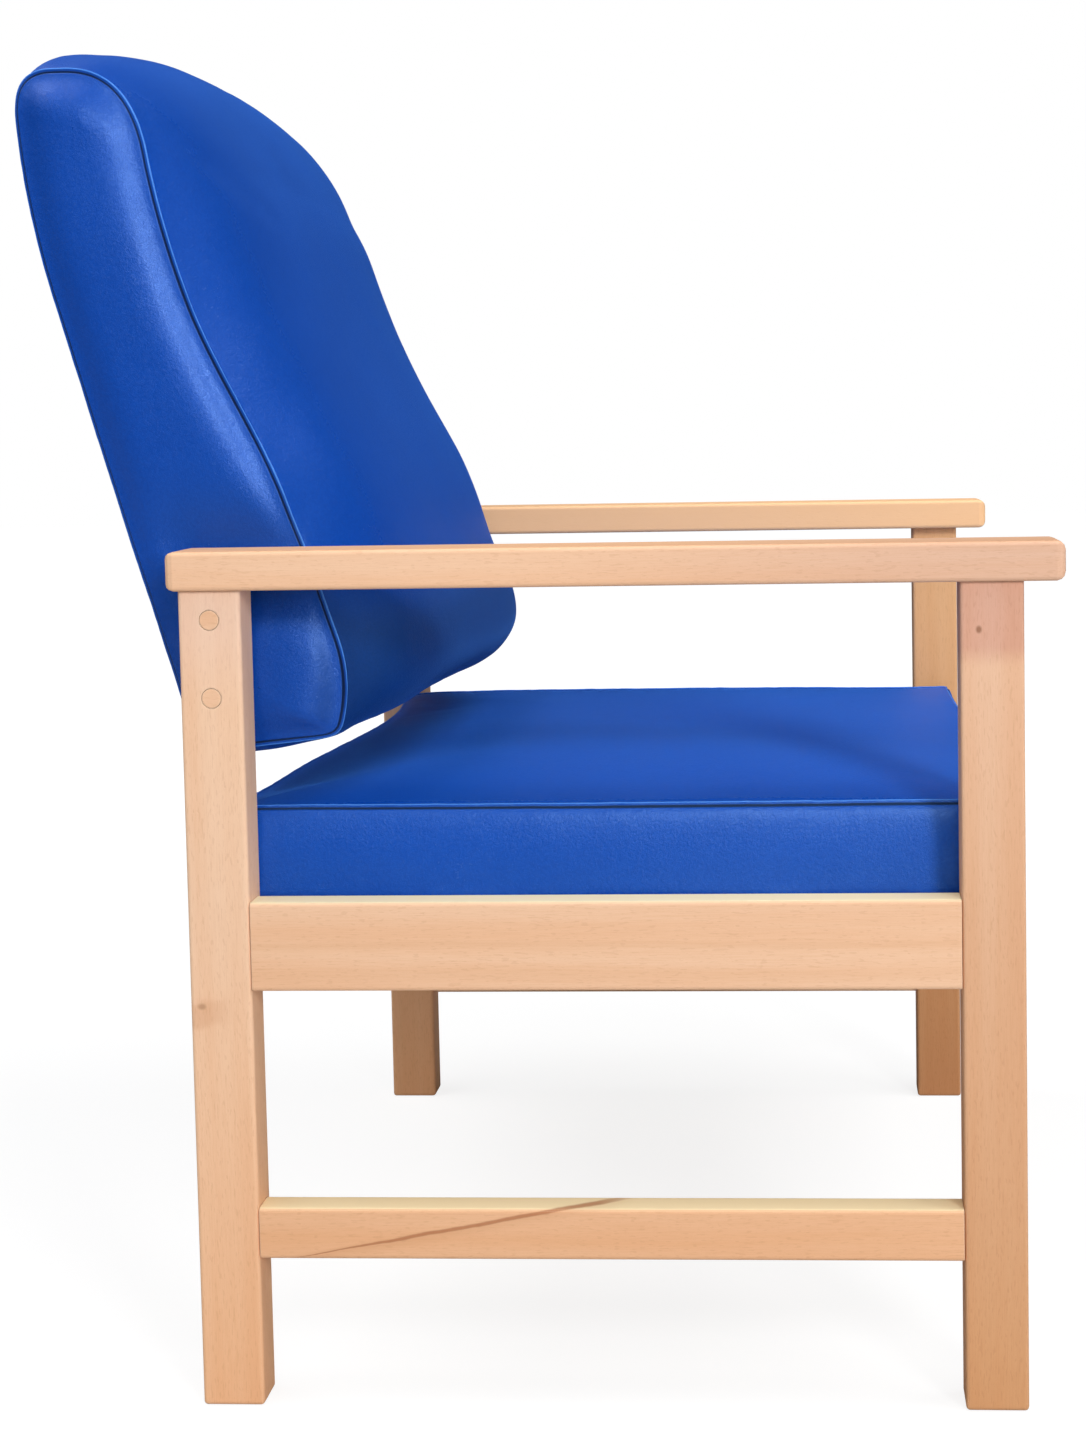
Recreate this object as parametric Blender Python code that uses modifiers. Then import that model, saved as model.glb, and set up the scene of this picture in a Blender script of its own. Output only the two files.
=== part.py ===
"""High-backed bariatric armchair: a beech frame with a padded seat and a padded back.

Metres, +Z up. The chair faces -Y, and +X is the sitter's left. The sizes below are
measured from the middle of the leg frame; an empty moves the whole chair so that the
origin lies on the floor under the middle of its overall box.
"""
import math

import bmesh
import bpy
from mathutils import Vector

# Leg frame
FRAME_WIDTH = 0.800          # over the outer faces of the legs
FRAME_DEPTH = 0.640          # front of the front legs to the back of the rear legs
LEG_WIDTH = 0.036            # across the chair
LEG_DEPTH = 0.048            # front to back
LEG_HEIGHT = 0.637
ARRIS = 0.003                # rounding of the long edges
TOUCH = 0.0003               # gap between faces that touch

# Arms, which lie on top of the legs
ARM_WIDTH = 0.058
ARM_THICKNESS = 0.030
ARM_OUTWARD = 0.005          # overhang past the legs' outer faces
ARM_FRONT_OVER = 0.031
ARM_REAR_OVER = 0.009
ARM_END_ROUND = 0.007
DOWEL_RADIUS = 0.004
DOWEL_SPACING = 0.026
DOWEL_IN_LEG = 0.013
DOWEL_IN_ARM = 0.016

# Seat rails and stretchers
RAIL_THICKNESS = 0.028
RAIL_HEIGHT = 0.069
RAIL_DROP = 0.2405           # the side rails' tops below the legs' tops
STRETCHER_THICKNESS = 0.028
STRETCHER_HEIGHT = 0.040
STRETCHER_TOP = 0.157
TENON_THICKNESS = 0.010
TENON_LENGTH = 0.024
TENON_SHOULDER = 0.009
TENON_WEB = 0.003            # wood left between two tenons that meet in one leg
MORTISE_END_GAP = 0.001
CENTRE_RAIL_THICKNESS = 0.028
CENTRE_TENON_LENGTH = 0.014

# What carries the seat inside the rails
SEAT_DROP = 0.004            # the seat board lies this much below the side rails' tops
CLEAT_WIDTH = 0.022
CLEAT_HEIGHT = 0.025
BLOCK_HEIGHT = 0.045
BLOCK_FACE = 0.040           # width of the block where it meets each rail
BLOCK_CLEARANCE = 0.003      # between the block's back and the corner of the leg
SCREW_RADIUS = 0.0025
SCREW_HEAD_RADIUS = 0.0048
SCREW_HEAD_HEIGHT = 0.003
SCREW_POINT = 0.006
LEG_SCREW_BITE = 0.014       # length of the block's screw inside the leg
BOARD_SCREW_BITE = 0.010
SCREW_OFFSET = 0.013         # seat screw's distance from the block's middle, along its length

# Seat
BOARD_THICKNESS = 0.015
BOARD_MARGIN = 0.004         # foam and cover round the board's edge
SEAT_FRONT_INSET = 0.004     # behind the front of the front legs
SEAT_REAR_INSET = 0.020      # ahead of the back of the rear legs
SEAT_SEAM_HEIGHT = 0.0705    # height of the side panels
SEAT_CROWN = 0.020
SEAT_CORNER = 0.016
SEAT_BULGE = 0.004           # sides stand out this much between the corners
SEAT_SEAM_PULL = 0.003       # the sewn edge is drawn in this much
SEAT_EDGE_ROUND = 0.005

# Back cushion, as a side outline that is lofted across the chair
BACK_DROP = 0.124            # the lower edge below the legs' tops
BACK_HEIGHT = 0.523
BACK_FOOT_PAST = 0.0018      # rear face at the lower edge, behind the rear legs
BACK_LEAN = math.radians(16.2)
BACK_BEND_AT = 0.347         # above this the rear face bends upright
BACK_BEND = 0.025
BACK_THICK_FOOT = 0.124
BACK_THICK_TOP = 0.092
BACK_LUMBAR = 0.014          # extra thickness of the lower part
LUMBAR_LOW = 0.167
LUMBAR_HIGH = 0.287
BACK_BASE_SLOPE = 0.10       # fall of the lower edge towards the rear
ROUND_TOP_REAR = 0.050
ROUND_TOP_FRONT = 0.073
ROUND_FOOT_FRONT = 0.056
ROUND_FOOT_REAR = 0.020
CROWN_FRONT_FOOT = 0.030     # how far the front stands out at the lower edge
CROWN_FRONT_LUMBAR = 0.061   # at the small of the back
CROWN_FRONT_HEAD = 0.022     # and near the top
CROWN_RISE = 0.120           # height over which it grows from the lower edge
CROWN_FALL = 0.239           # height from which it shrinks again
CROWN_TOP = 0.043
CROWN_FOOT = 0.004
CROWN_REAR = 0.005
BACK_SEAM_PULL = 0.006
ARM_PRESS_GAP = 0.0005       # clearance where the arm presses into the back's side

# Frame inside the back cushion, and the bolts that hold it
STILE_WIDTH = 0.028
STILE_DEPTH = 0.046
STILE_BORDER = 0.024         # foam between the stile and the rear leg
STILE_BELOW = 0.055          # length of the stile below the middle of the two bolts
STILE_ABOVE = 0.400
PANEL_THICKNESS = 0.012
PANEL_END_INSET = 0.012      # the board stops this far short of the stiles' ends
BOLT_DROP = 0.0524           # middle of the two bolts below the leg's top
BOLT_SPACING = 0.0598
BOLT_RADIUS = 0.004
BOLT_HEAD_RADIUS = 0.0065
BOLT_HEAD_LENGTH = 0.0055
PLUG_RADIUS = 0.0075
PLUG_LENGTH = 0.006
INSERT_RADIUS = 0.006
INSERT_LENGTH = 0.015
BOLT_PAST_INSERT = 0.004

# Fineness
ARRIS_SEGMENTS = 3
ROUND_SIDES = 24
BACK_STATIONS = 13
FOOT_STEPS = 4
FACE_STEPS = 12
FILLET_STEPS = 6

SIDES = {"right": -1, "left": 1}
ENDS = {"front": -1, "rear": 1}

# Sizes worked out from those above
HALF_WIDTH = FRAME_WIDTH / 2
HALF_DEPTH = FRAME_DEPTH / 2
LEG_INNER = HALF_WIDTH - LEG_WIDTH
LEG_INSIDE_Y = HALF_DEPTH - LEG_DEPTH
LEG_MID_X = HALF_WIDTH - LEG_WIDTH / 2
LEG_MID_Y = HALF_DEPTH - LEG_DEPTH / 2
ARM_TOP = LEG_HEIGHT + ARM_THICKNESS
ARM_OUTER = HALF_WIDTH + ARM_OUTWARD
ARM_INNER = ARM_OUTER - ARM_WIDTH
RAIL_TOP = LEG_HEIGHT - RAIL_DROP
RAIL_BOTTOM = RAIL_TOP - RAIL_HEIGHT
RAIL_INNER = HALF_WIDTH - RAIL_THICKNESS
BOARD_BASE = RAIL_TOP - SEAT_DROP
END_RAIL_INNER = LEG_MID_Y - RAIL_THICKNESS / 2
END_TENON_LENGTH = LEG_WIDTH - RAIL_THICKNESS / 2 - TENON_THICKNESS / 2 - TENON_WEB
BLOCK_BACK = (RAIL_INNER - LEG_INNER) + (END_RAIL_INNER - LEG_INSIDE_Y) + BLOCK_CLEARANCE
SEAT_FRONT = HALF_DEPTH - SEAT_FRONT_INSET
SEAT_REAR = HALF_DEPTH - SEAT_REAR_INSET
BACK_BOTTOM = LEG_HEIGHT - BACK_DROP
BACK_FOOT_Y = HALF_DEPTH + BACK_FOOT_PAST
BOLT_MID_HEIGHT = LEG_HEIGHT - BOLT_DROP
STILE_OUTER = LEG_INNER - STILE_BORDER
STILE_INNER = STILE_OUTER - STILE_WIDTH
HEAD_SEAT = HALF_WIDTH - PLUG_LENGTH - BOLT_HEAD_LENGTH - 2 * TOUCH
BOLT_TIP = STILE_OUTER - INSERT_LENGTH - BOLT_PAST_INSERT
BOLT_HEIGHTS = {
    "upper": BOLT_MID_HEIGHT + BOLT_SPACING / 2,
    "lower": BOLT_MID_HEIGHT - BOLT_SPACING / 2,
}


def clear_scene():
    for obj in list(bpy.data.objects):
        bpy.data.objects.remove(obj, do_unlink=True)


def new_collection(name):
    collection = bpy.data.collections.new(name)
    bpy.context.scene.collection.children.link(collection)
    return collection


def new_material(name, colour, roughness, metallic=0.0):
    material = bpy.data.materials.new(name)
    material.use_nodes = True
    shader = material.node_tree.nodes["Principled BSDF"]
    shader.inputs["Base Color"].default_value = (*colour, 1.0)
    shader.inputs["Roughness"].default_value = roughness
    shader.inputs["Metallic"].default_value = metallic
    return material


clear_scene()
CHAIR = new_collection("bariatric_chair")
CUTTERS = new_collection("cutters")
MIDDLE = bpy.data.objects.new("frame_middle", None)
CHAIR.objects.link(MIDDLE)
BEECH = new_material("beech", (0.80, 0.53, 0.35), 0.42)
PLYWOOD = new_material("plywood", (0.66, 0.47, 0.30), 0.65)
VINYL = new_material("blue_vinyl", (0.006, 0.055, 0.33), 0.36)
STEEL = new_material("zinc_steel", (0.62, 0.63, 0.64), 0.35, 1.0)


def place(mesh, name, material, location, rotation=None):
    """Puts a mesh in the scene as a part of the chair, or as a cutter without a material."""
    obj = bpy.data.objects.new(name, mesh)
    (CHAIR if material else CUTTERS).objects.link(obj)
    obj.parent = MIDDLE
    obj.location = location
    if rotation:
        obj.rotation_euler = rotation
    if material:
        mesh.materials.append(material)
    else:
        obj.hide_render = True
        obj.display_type = "WIRE"
    return obj


def box(name, low, high, material=None, rotation=None):
    """A box between two corners, about its own middle."""
    size = [b - a for a, b in zip(low, high)]
    mesh = bpy.data.meshes.new(name)
    bm = bmesh.new()
    bmesh.ops.create_cube(bm, size=1.0)
    bmesh.ops.scale(bm, vec=size, verts=bm.verts)
    bm.to_mesh(mesh)
    bm.free()
    middle = [(a + b) / 2 for a, b in zip(low, high)]
    return place(mesh, name, material, middle, rotation)


def soften(obj, width, share):
    """Rounds a box's edges; share(edge) is each edge's part of the width, from 0 to 1."""
    bm = bmesh.new()
    bm.from_mesh(obj.data)
    weight = bm.edges.layers.float.new("bevel_weight_edge")
    for edge in bm.edges:
        edge[weight] = share(edge)
    bm.to_mesh(obj.data)
    bm.free()
    bevel = obj.modifiers.new("arris", "BEVEL")
    bevel.width = width
    bevel.segments = ARRIS_SEGMENTS
    bevel.limit_method = "WEIGHT"


def runs_along(edge, axis):
    direction = edge.verts[1].co - edge.verts[0].co
    return abs(direction[axis]) > 0.9 * direction.length


def long_edges(axis):
    return lambda edge: 1.0 if runs_along(edge, axis) else 0.0


def turned(name, profile, material, location, direction):
    """A turned piece: profile is (radius, height) from its top down, and it turns about direction."""
    mesh = bpy.data.meshes.new(name)
    bm = bmesh.new()
    verts = [bm.verts.new((radius, 0.0, height)) for radius, height in profile]
    for a, b in zip(verts, verts[1:]):
        bm.edges.new((a, b))
    if profile[0][0] > 0.0:
        bm.edges.new((verts[-1], verts[0]))
    bm.to_mesh(mesh)
    bm.free()
    obj = place(mesh, name, material, location)
    obj.rotation_euler = Vector(direction).to_track_quat("Z", "X").to_euler()
    screw = obj.modifiers.new("turn", "SCREW")
    screw.steps = ROUND_SIDES
    screw.render_steps = ROUND_SIDES
    screw.use_merge_vertices = True
    screw.merge_threshold = 0.00005
    return obj


def rod_profile(radius, top, bottom):
    return [(0.0, top), (radius, top), (radius, bottom), (0.0, bottom)]


def boolean(target, tool, operation="DIFFERENCE"):
    modifier = target.modifiers.new(f"{operation.lower()}_{tool.name}", "BOOLEAN")
    modifier.operation = operation
    modifier.solver = "EXACT"
    modifier.object = tool


def grown(low, high, by=TOUCH):
    return [value - by for value in low], [value + by for value in high]


def mirrored(low, high, side):
    """The corners of a box on the +X side, or of its mirror image on the -X side."""
    if side > 0:
        return low, high
    return (-high[0], low[1], low[2]), (-low[0], high[1], high[2])


def stepped_profile(narrow, wide, step, top):
    """A rod that is narrow up to a step and wide above it."""
    return [(0.0, top), (wide, top), (wide, step), (narrow, step), (narrow, 0.0), (0.0, 0.0)]


def drill(target, name, profile, location, direction):
    """Cuts a round hole that runs from location along direction."""
    boolean(target, turned(name, profile, None, location, direction))


def build_legs():
    legs = {}
    for side_name, side in SIDES.items():
        for end_name, end in ENDS.items():
            y_low, y_high = sorted((end * LEG_INSIDE_Y, end * HALF_DEPTH))
            low, high = mirrored(
                (LEG_INNER, y_low, 0.0), (HALF_WIDTH, y_high, LEG_HEIGHT - TOUCH), side)
            leg = box(f"{end_name}_leg_{side_name}", low, high, BEECH)
            soften(leg, ARRIS, lambda edge: 0.0 if min(v.co.z for v in edge.verts) > 0 else 1.0)
            legs[end_name, side_name] = leg
    return legs


def arm_edge_share(edge):
    """The ends are rounder than the long edges."""
    return ARRIS / ARM_END_ROUND if runs_along(edge, 1) else 1.0


def build_arms(legs):
    for side_name, side in SIDES.items():
        low, high = mirrored(
            (ARM_INNER, -HALF_DEPTH - ARM_FRONT_OVER, LEG_HEIGHT),
            (ARM_OUTER, HALF_DEPTH + ARM_REAR_OVER, ARM_TOP), side)
        arm = box(f"arm_{side_name}", low, high, BEECH)
        soften(arm, ARM_END_ROUND, arm_edge_share)
        for end_name, end in ENDS.items():
            for number in (1, 2):
                along = end * LEG_MID_Y + (number - 1.5) * DOWEL_SPACING
                name = f"arm_dowel_{end_name}_{side_name}_{number}"
                foot = (side * LEG_MID_X, along, LEG_HEIGHT - DOWEL_IN_LEG)
                length = DOWEL_IN_LEG + DOWEL_IN_ARM
                turned(name, rod_profile(DOWEL_RADIUS, length, 0.0), BEECH, foot, (0, 0, 1))
                hole_foot = (foot[0], foot[1], foot[2] - MORTISE_END_GAP)
                hole = turned(f"hole_{name}", rod_profile(
                    DOWEL_RADIUS + TOUCH, length + 2 * MORTISE_END_GAP, 0.0),
                    None, hole_foot, (0, 0, 1))
                boolean(arm, hole)
                boolean(legs[end_name, side_name], hole)


def tenoned(name, low, high, axis, tenon_length, posts):
    """A rail along an axis, its tenon bar, and the mortises for it in the two posts."""
    rail = box(name, low, high, BEECH)
    soften(rail, ARRIS, long_edges(axis))
    across = 1 - axis
    middle = (low[across] + high[across]) / 2
    bar_low, bar_high = list(low), list(high)
    bar_low[across] = middle - TENON_THICKNESS / 2
    bar_high[across] = middle + TENON_THICKNESS / 2
    bar_low[2] = low[2] + TENON_SHOULDER
    bar_high[2] = high[2] - TENON_SHOULDER
    bar_low[axis] -= tenon_length
    bar_high[axis] += tenon_length
    boolean(rail, box(f"tenon_{name}", bar_low, bar_high), "UNION")
    hole_low, hole_high = grown(bar_low, bar_high)
    hole_low[axis] -= MORTISE_END_GAP
    hole_high[axis] += MORTISE_END_GAP
    mortises = box(f"mortise_{name}", hole_low, hole_high)
    for post in posts:
        boolean(post, mortises)
    return rail


def build_rails(legs):
    """Side rails and stretchers run front to back, flush with the legs; end rails run across."""
    rails = {}
    span = LEG_INSIDE_Y - TOUCH
    for side_name, side in SIDES.items():
        posts = [legs["front", side_name], legs["rear", side_name]]
        low, high = mirrored((RAIL_INNER, -span, RAIL_BOTTOM), (HALF_WIDTH, span, RAIL_TOP), side)
        tenoned(f"side_rail_{side_name}", low, high, 1, TENON_LENGTH, posts)
        low, high = mirrored(
            (HALF_WIDTH - STRETCHER_THICKNESS, -span, STRETCHER_TOP - STRETCHER_HEIGHT),
            (HALF_WIDTH, span, STRETCHER_TOP), side)
        tenoned(f"stretcher_{side_name}", low, high, 1, TENON_LENGTH, posts)
    width = LEG_INNER - TOUCH
    for end_name, end in ENDS.items():
        posts = [legs[end_name, "right"], legs[end_name, "left"]]
        middle = end * LEG_MID_Y
        rails[end_name] = tenoned(
            f"{end_name}_rail",
            (-width, middle - RAIL_THICKNESS / 2, RAIL_BOTTOM),
            (width, middle + RAIL_THICKNESS / 2, BOARD_BASE - TOUCH),
            0, END_TENON_LENGTH, posts)
    reach = END_RAIL_INNER - TOUCH
    tenoned(
        "centre_rail",
        (-CENTRE_RAIL_THICKNESS / 2, -reach, RAIL_BOTTOM),
        (CENTRE_RAIL_THICKNESS / 2, reach, BOARD_BASE - TOUCH),
        1, CENTRE_TENON_LENGTH, [rails["front"], rails["rear"]])


def screw_profile(length):
    """A countersunk screw from its flat head at height 0 down to its point."""
    return [
        (0.0, 0.0),
        (SCREW_HEAD_RADIUS, 0.0),
        (SCREW_RADIUS, -SCREW_HEAD_HEIGHT),
        (SCREW_RADIUS, SCREW_POINT - length),
        (0.0, -length),
    ]


def screw_hole_profile(length):
    """The screw's own shape, grown all round and open above the head."""
    wide = SCREW_HEAD_RADIUS + TOUCH
    return [
        (0.0, TOUCH + SCREW_HEAD_HEIGHT),
        (wide, TOUCH + SCREW_HEAD_HEIGHT),
        (wide, 0.0),
        (SCREW_RADIUS + TOUCH, -SCREW_HEAD_HEIGHT),
        (SCREW_RADIUS + TOUCH, SCREW_POINT - length),
        (0.0, -length - MORTISE_END_GAP),
    ]


def drive_screw(name, head, away, length, targets):
    """A screw whose head looks away from the wood, and its hole in each target."""
    turned(name, screw_profile(length), STEEL, head, away)
    hole = turned(f"hole_{name}", screw_hole_profile(length), None, head, away)
    for target in targets:
        boolean(target, hole)


def corner_block(name, side, end):
    """A block across the corner of two rails, seated on both and clear of the leg."""
    corner = Vector((RAIL_INNER - TOUCH, END_RAIL_INNER - TOUCH))
    near, far = BLOCK_BACK, BLOCK_BACK + BLOCK_FACE
    outline = [(0, near), (0, far), (far, 0), (near, 0)]
    mesh = bpy.data.meshes.new(name)
    bm = bmesh.new()
    base = [bm.verts.new((side * (corner.x - u), end * (corner.y - v), 0.0)) for u, v in outline]
    face = bm.faces.new(base)
    lifted = bmesh.ops.extrude_face_region(bm, geom=[face])
    top = [item for item in lifted["geom"] if isinstance(item, bmesh.types.BMVert)]
    bmesh.ops.translate(bm, vec=(0, 0, BLOCK_HEIGHT), verts=top)
    bmesh.ops.recalc_face_normals(bm, faces=bm.faces)
    bm.to_mesh(mesh)
    bm.free()
    return place(mesh, name, BEECH, (0, 0, BOARD_BASE - TOUCH - BLOCK_HEIGHT))


def build_seat_support(legs, board):
    """Corner blocks with their screws, and cleats along the side rails between them."""
    foot = BOARD_BASE - TOUCH - BLOCK_HEIGHT
    reach = BLOCK_BACK + BLOCK_FACE
    for side_name, side in SIDES.items():
        for end_name, end in ENDS.items():
            where = f"{end_name}_{side_name}"
            block = corner_block(f"corner_block_{where}", side, end)
            outward = Vector((side, end, 0)).normalized()
            along = Vector((-side, end, 0)).normalized()
            corner = Vector((side * RAIL_INNER, end * END_RAIL_INNER, 0))
            front = corner - outward * (reach / math.sqrt(2))
            leg_corner = Vector((side * LEG_INNER, end * LEG_INSIDE_Y, 0))
            length = (leg_corner - front).dot(outward) + LEG_SCREW_BITE
            head = front + outward * (SCREW_HEAD_HEIGHT / 2) + Vector((0, 0, foot + BLOCK_HEIGHT / 2))
            drive_screw(f"block_screw_{where}", head, -outward, length,
                        [block, legs[end_name, side_name]])
            centre = corner - outward * ((BLOCK_BACK + BLOCK_FACE / 2) / math.sqrt(2))
            head = centre + along * SCREW_OFFSET + Vector((0, 0, foot + SCREW_HEAD_HEIGHT / 2))
            length = BLOCK_HEIGHT + BOARD_SCREW_BITE - SCREW_HEAD_HEIGHT / 2
            drive_screw(f"seat_screw_{where}", head, (0, 0, -1), length, [block, board])
        half_length = END_RAIL_INNER - reach - TOUCH
        low, high = mirrored(
            (RAIL_INNER - TOUCH - CLEAT_WIDTH, -half_length, BOARD_BASE - TOUCH - CLEAT_HEIGHT),
            (RAIL_INNER - TOUCH, half_length, BOARD_BASE - TOUCH), side)
        box(f"seat_cleat_{side_name}", low, high, BEECH)


def board_corners():
    half = LEG_INNER - TOUCH - BOARD_MARGIN
    low = (-half, -SEAT_FRONT + BOARD_MARGIN, BOARD_BASE)
    high = (half, SEAT_REAR - BOARD_MARGIN, BOARD_BASE + BOARD_THICKNESS)
    return low, high


def seat_outline():
    """The seat's plan, with round corners and sides that stand out a little between them."""
    half = LEG_INNER - TOUCH
    middle_y = (SEAT_REAR - SEAT_FRONT) / 2
    half_length = (SEAT_REAR + SEAT_FRONT) / 2
    corners = [(1, 1), (-1, 1), (-1, -1), (1, -1)]
    steps, points = 7, []
    for index, (sx, sy) in enumerate(corners):
        centre = Vector((sx * (half - SEAT_CORNER), middle_y + sy * (half_length - SEAT_CORNER)))
        start = index * math.pi / 2
        for step in range(4):
            angle = start + step * math.pi / 6
            points.append(centre + SEAT_CORNER * Vector((math.cos(angle), math.sin(angle))))
        next_x, next_y = corners[(index + 1) % 4]
        turn = start + math.pi / 2
        out = Vector((math.cos(turn), math.sin(turn)))
        following = Vector((next_x * (half - SEAT_CORNER), middle_y + next_y * (half_length - SEAT_CORNER)))
        begin, finish = centre + out * SEAT_CORNER, following + out * SEAT_CORNER
        for step in range(1, steps):
            share = step / steps
            swell = SEAT_BULGE * math.sin(math.pi * share) ** 2
            points.append(begin.lerp(finish, share) + out * swell)
    return points, Vector((0.0, middle_y))


def skin(bm, rings):
    """Joins closed rings of equal length with quads."""
    for lower, upper in zip(rings, rings[1:]):
        for index in range(len(lower)):
            after = (index + 1) % len(lower)
            bm.faces.new((lower[index], lower[after], upper[after], upper[index]))


def shade(obj, angle=40):
    obj.data.shade_smooth()
    obj.data.set_sharp_from_angle(angle=math.radians(angle))


def build_seat(board_box):
    """A boxed cushion with a crowned top and drawn-in seams, hollow below for its board."""
    outline, centre = seat_outline()
    mesh = bpy.data.meshes.new("seat_cushion")
    bm = bmesh.new()

    def ring(inset, height, scale=1.0):
        made = []
        for index, point in enumerate(outline):
            before, after = outline[index - 1], outline[(index + 1) % len(outline)]
            tangent = (after - before).normalized()
            inward = Vector((-tangent.y, tangent.x))
            moved = centre + (point + inward * inset - centre) * scale
            made.append(bm.verts.new((moved.x, moved.y, height)))
        return made

    base, seam = BOARD_BASE, BOARD_BASE + SEAT_SEAM_HEIGHT
    edge = SEAT_EDGE_ROUND
    rings = [ring(edge, base), ring(edge * 0.3, base + edge * 0.3), ring(0.0, base + edge)]
    rings += [ring(0.0, base + SEAT_SEAM_HEIGHT * 0.5), ring(SEAT_SEAM_PULL * 0.4, seam - 0.012)]
    rings.append(ring(SEAT_SEAM_PULL, seam))
    for scale in (0.985, 0.95, 0.88, 0.75, 0.55, 0.30):
        rise = SEAT_CROWN * (1 - scale ** 2.4) ** 0.75
        rings.append(ring(SEAT_SEAM_PULL, seam + rise, scale))
    skin(bm, rings)
    bm.faces.new(list(reversed(rings[0])))
    peak = bm.verts.new((centre.x, centre.y, seam + SEAT_CROWN))
    for index, vert in enumerate(rings[-1]):
        bm.faces.new((vert, rings[-1][(index + 1) % len(outline)], peak))
    bmesh.ops.recalc_face_normals(bm, faces=bm.faces)
    bm.to_mesh(mesh)
    bm.free()
    cushion = place(mesh, "seat_cushion", VINYL, (0, 0, 0))
    low, high = grown(*board_box)
    boolean(cushion, box("recess_seat_board", (low[0], low[1], base - edge), high))
    shade(cushion)


def smoothstep(value, low, high):
    share = min(1.0, max(0.0, (value - low) / (high - low)))
    return share * share * (3 - 2 * share)


def back_rear(height):
    """The rear face's y at a height above the back's lower edge."""
    bend = max(0.0, height - BACK_BEND_AT) / (BACK_HEIGHT - BACK_BEND_AT)
    return BACK_FOOT_Y + math.tan(BACK_LEAN) * height - BACK_BEND * bend ** 2


def back_front(height):
    taper = BACK_THICK_FOOT + (BACK_THICK_TOP - BACK_THICK_FOOT) * height / BACK_HEIGHT
    lumbar = BACK_LUMBAR * (1 - smoothstep(height, LUMBAR_LOW, LUMBAR_HIGH))
    return back_rear(height) - taper - lumbar


def fillet(before, corner, after):
    """A round stretch from one side of the outline to the next, about their corner."""
    points = []
    for step in range(FILLET_STEPS + 1):
        t = step / FILLET_STEPS
        points.append(before * (1 - t) ** 2 + corner * 2 * t * (1 - t) + after * t ** 2)
    return points


def back_outline():
    """The back's side outline as (y, z) points: up the rear, over the top, down the front."""
    drop = BACK_BASE_SLOPE * (back_rear(0) - back_front(0)) / 2
    foot_rear = Vector((back_rear(0), BACK_BOTTOM - drop))
    foot_front = Vector((back_front(0), BACK_BOTTOM + drop))
    top_rear = Vector((back_rear(BACK_HEIGHT), BACK_BOTTOM + BACK_HEIGHT))
    top_front = Vector((back_front(BACK_HEIGHT), BACK_BOTTOM + BACK_HEIGHT))
    base = (foot_front - foot_rear).normalized()

    def rear(height):
        return Vector((back_rear(height), BACK_BOTTOM + height))

    def front(height):
        return Vector((back_front(height), BACK_BOTTOM + height))

    points = fillet(foot_rear + base * ROUND_FOOT_REAR, foot_rear, rear(ROUND_FOOT_REAR))
    for step in range(1, FACE_STEPS):
        span = BACK_HEIGHT - ROUND_FOOT_REAR - ROUND_TOP_REAR
        points.append(rear(ROUND_FOOT_REAR + span * step / FACE_STEPS))
    points += fillet(rear(BACK_HEIGHT - ROUND_TOP_REAR), top_rear,
                     top_rear - Vector((ROUND_TOP_REAR * 0.9, 0)))
    points += fillet(top_front + Vector((ROUND_TOP_FRONT * 0.7, 0)), top_front,
                     front(BACK_HEIGHT - ROUND_TOP_FRONT))
    for step in range(1, FACE_STEPS):
        span = BACK_HEIGHT - ROUND_FOOT_FRONT - ROUND_TOP_FRONT
        points.append(front(BACK_HEIGHT - ROUND_TOP_FRONT - span * step / FACE_STEPS))
    points += fillet(front(ROUND_FOOT_FRONT), foot_front, foot_front - base * ROUND_FOOT_FRONT)
    for step in range(1, FOOT_STEPS):
        begin, finish = points[-1], points[0]
        points.append(begin.lerp(finish, 1 / (FOOT_STEPS - step + 1)))
    return points


def outline_normals(points):
    """Outward normals of a closed outline that runs up the rear and down the front."""
    normals = []
    for index in range(len(points)):
        tangent = points[(index + 1) % len(points)] - points[index - 1]
        normals.append(Vector((tangent.y, -tangent.x)).normalized())
    return normals


def front_crown(height):
    """The front's crown in the middle of the chair: fullest at the small of the back."""
    rise = (CROWN_FRONT_LUMBAR - CROWN_FRONT_FOOT) * smoothstep(height, 0.0, CROWN_RISE)
    fall = (CROWN_FRONT_LUMBAR - CROWN_FRONT_HEAD) * smoothstep(height, CROWN_FALL, BACK_HEIGHT)
    return CROWN_FRONT_FOOT + rise - fall


def crown(point, normal, across):
    """How far the cover stands out at a place across the back, from -1 to 1."""
    front_swell = (1 - across ** 4) ** 0.4
    top_swell = (1 - across ** 2) ** 0.6
    front = front_crown(point.y - BACK_BOTTOM) if normal.x < 0 else CROWN_REAR
    top = CROWN_TOP if normal.y > 0 else CROWN_FOOT
    return normal.x ** 2 * front * front_swell + normal.y ** 2 * top * top_swell


def back_spine(point):
    """The middle of the back's thickness at a point's height, kept off the two ends."""
    margin = BACK_THICK_TOP / 2
    height = min(BACK_HEIGHT - margin, max(margin, point.y - BACK_BOTTOM))
    return Vector(((back_rear(height) + back_front(height)) / 2, BACK_BOTTOM + height))


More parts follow.
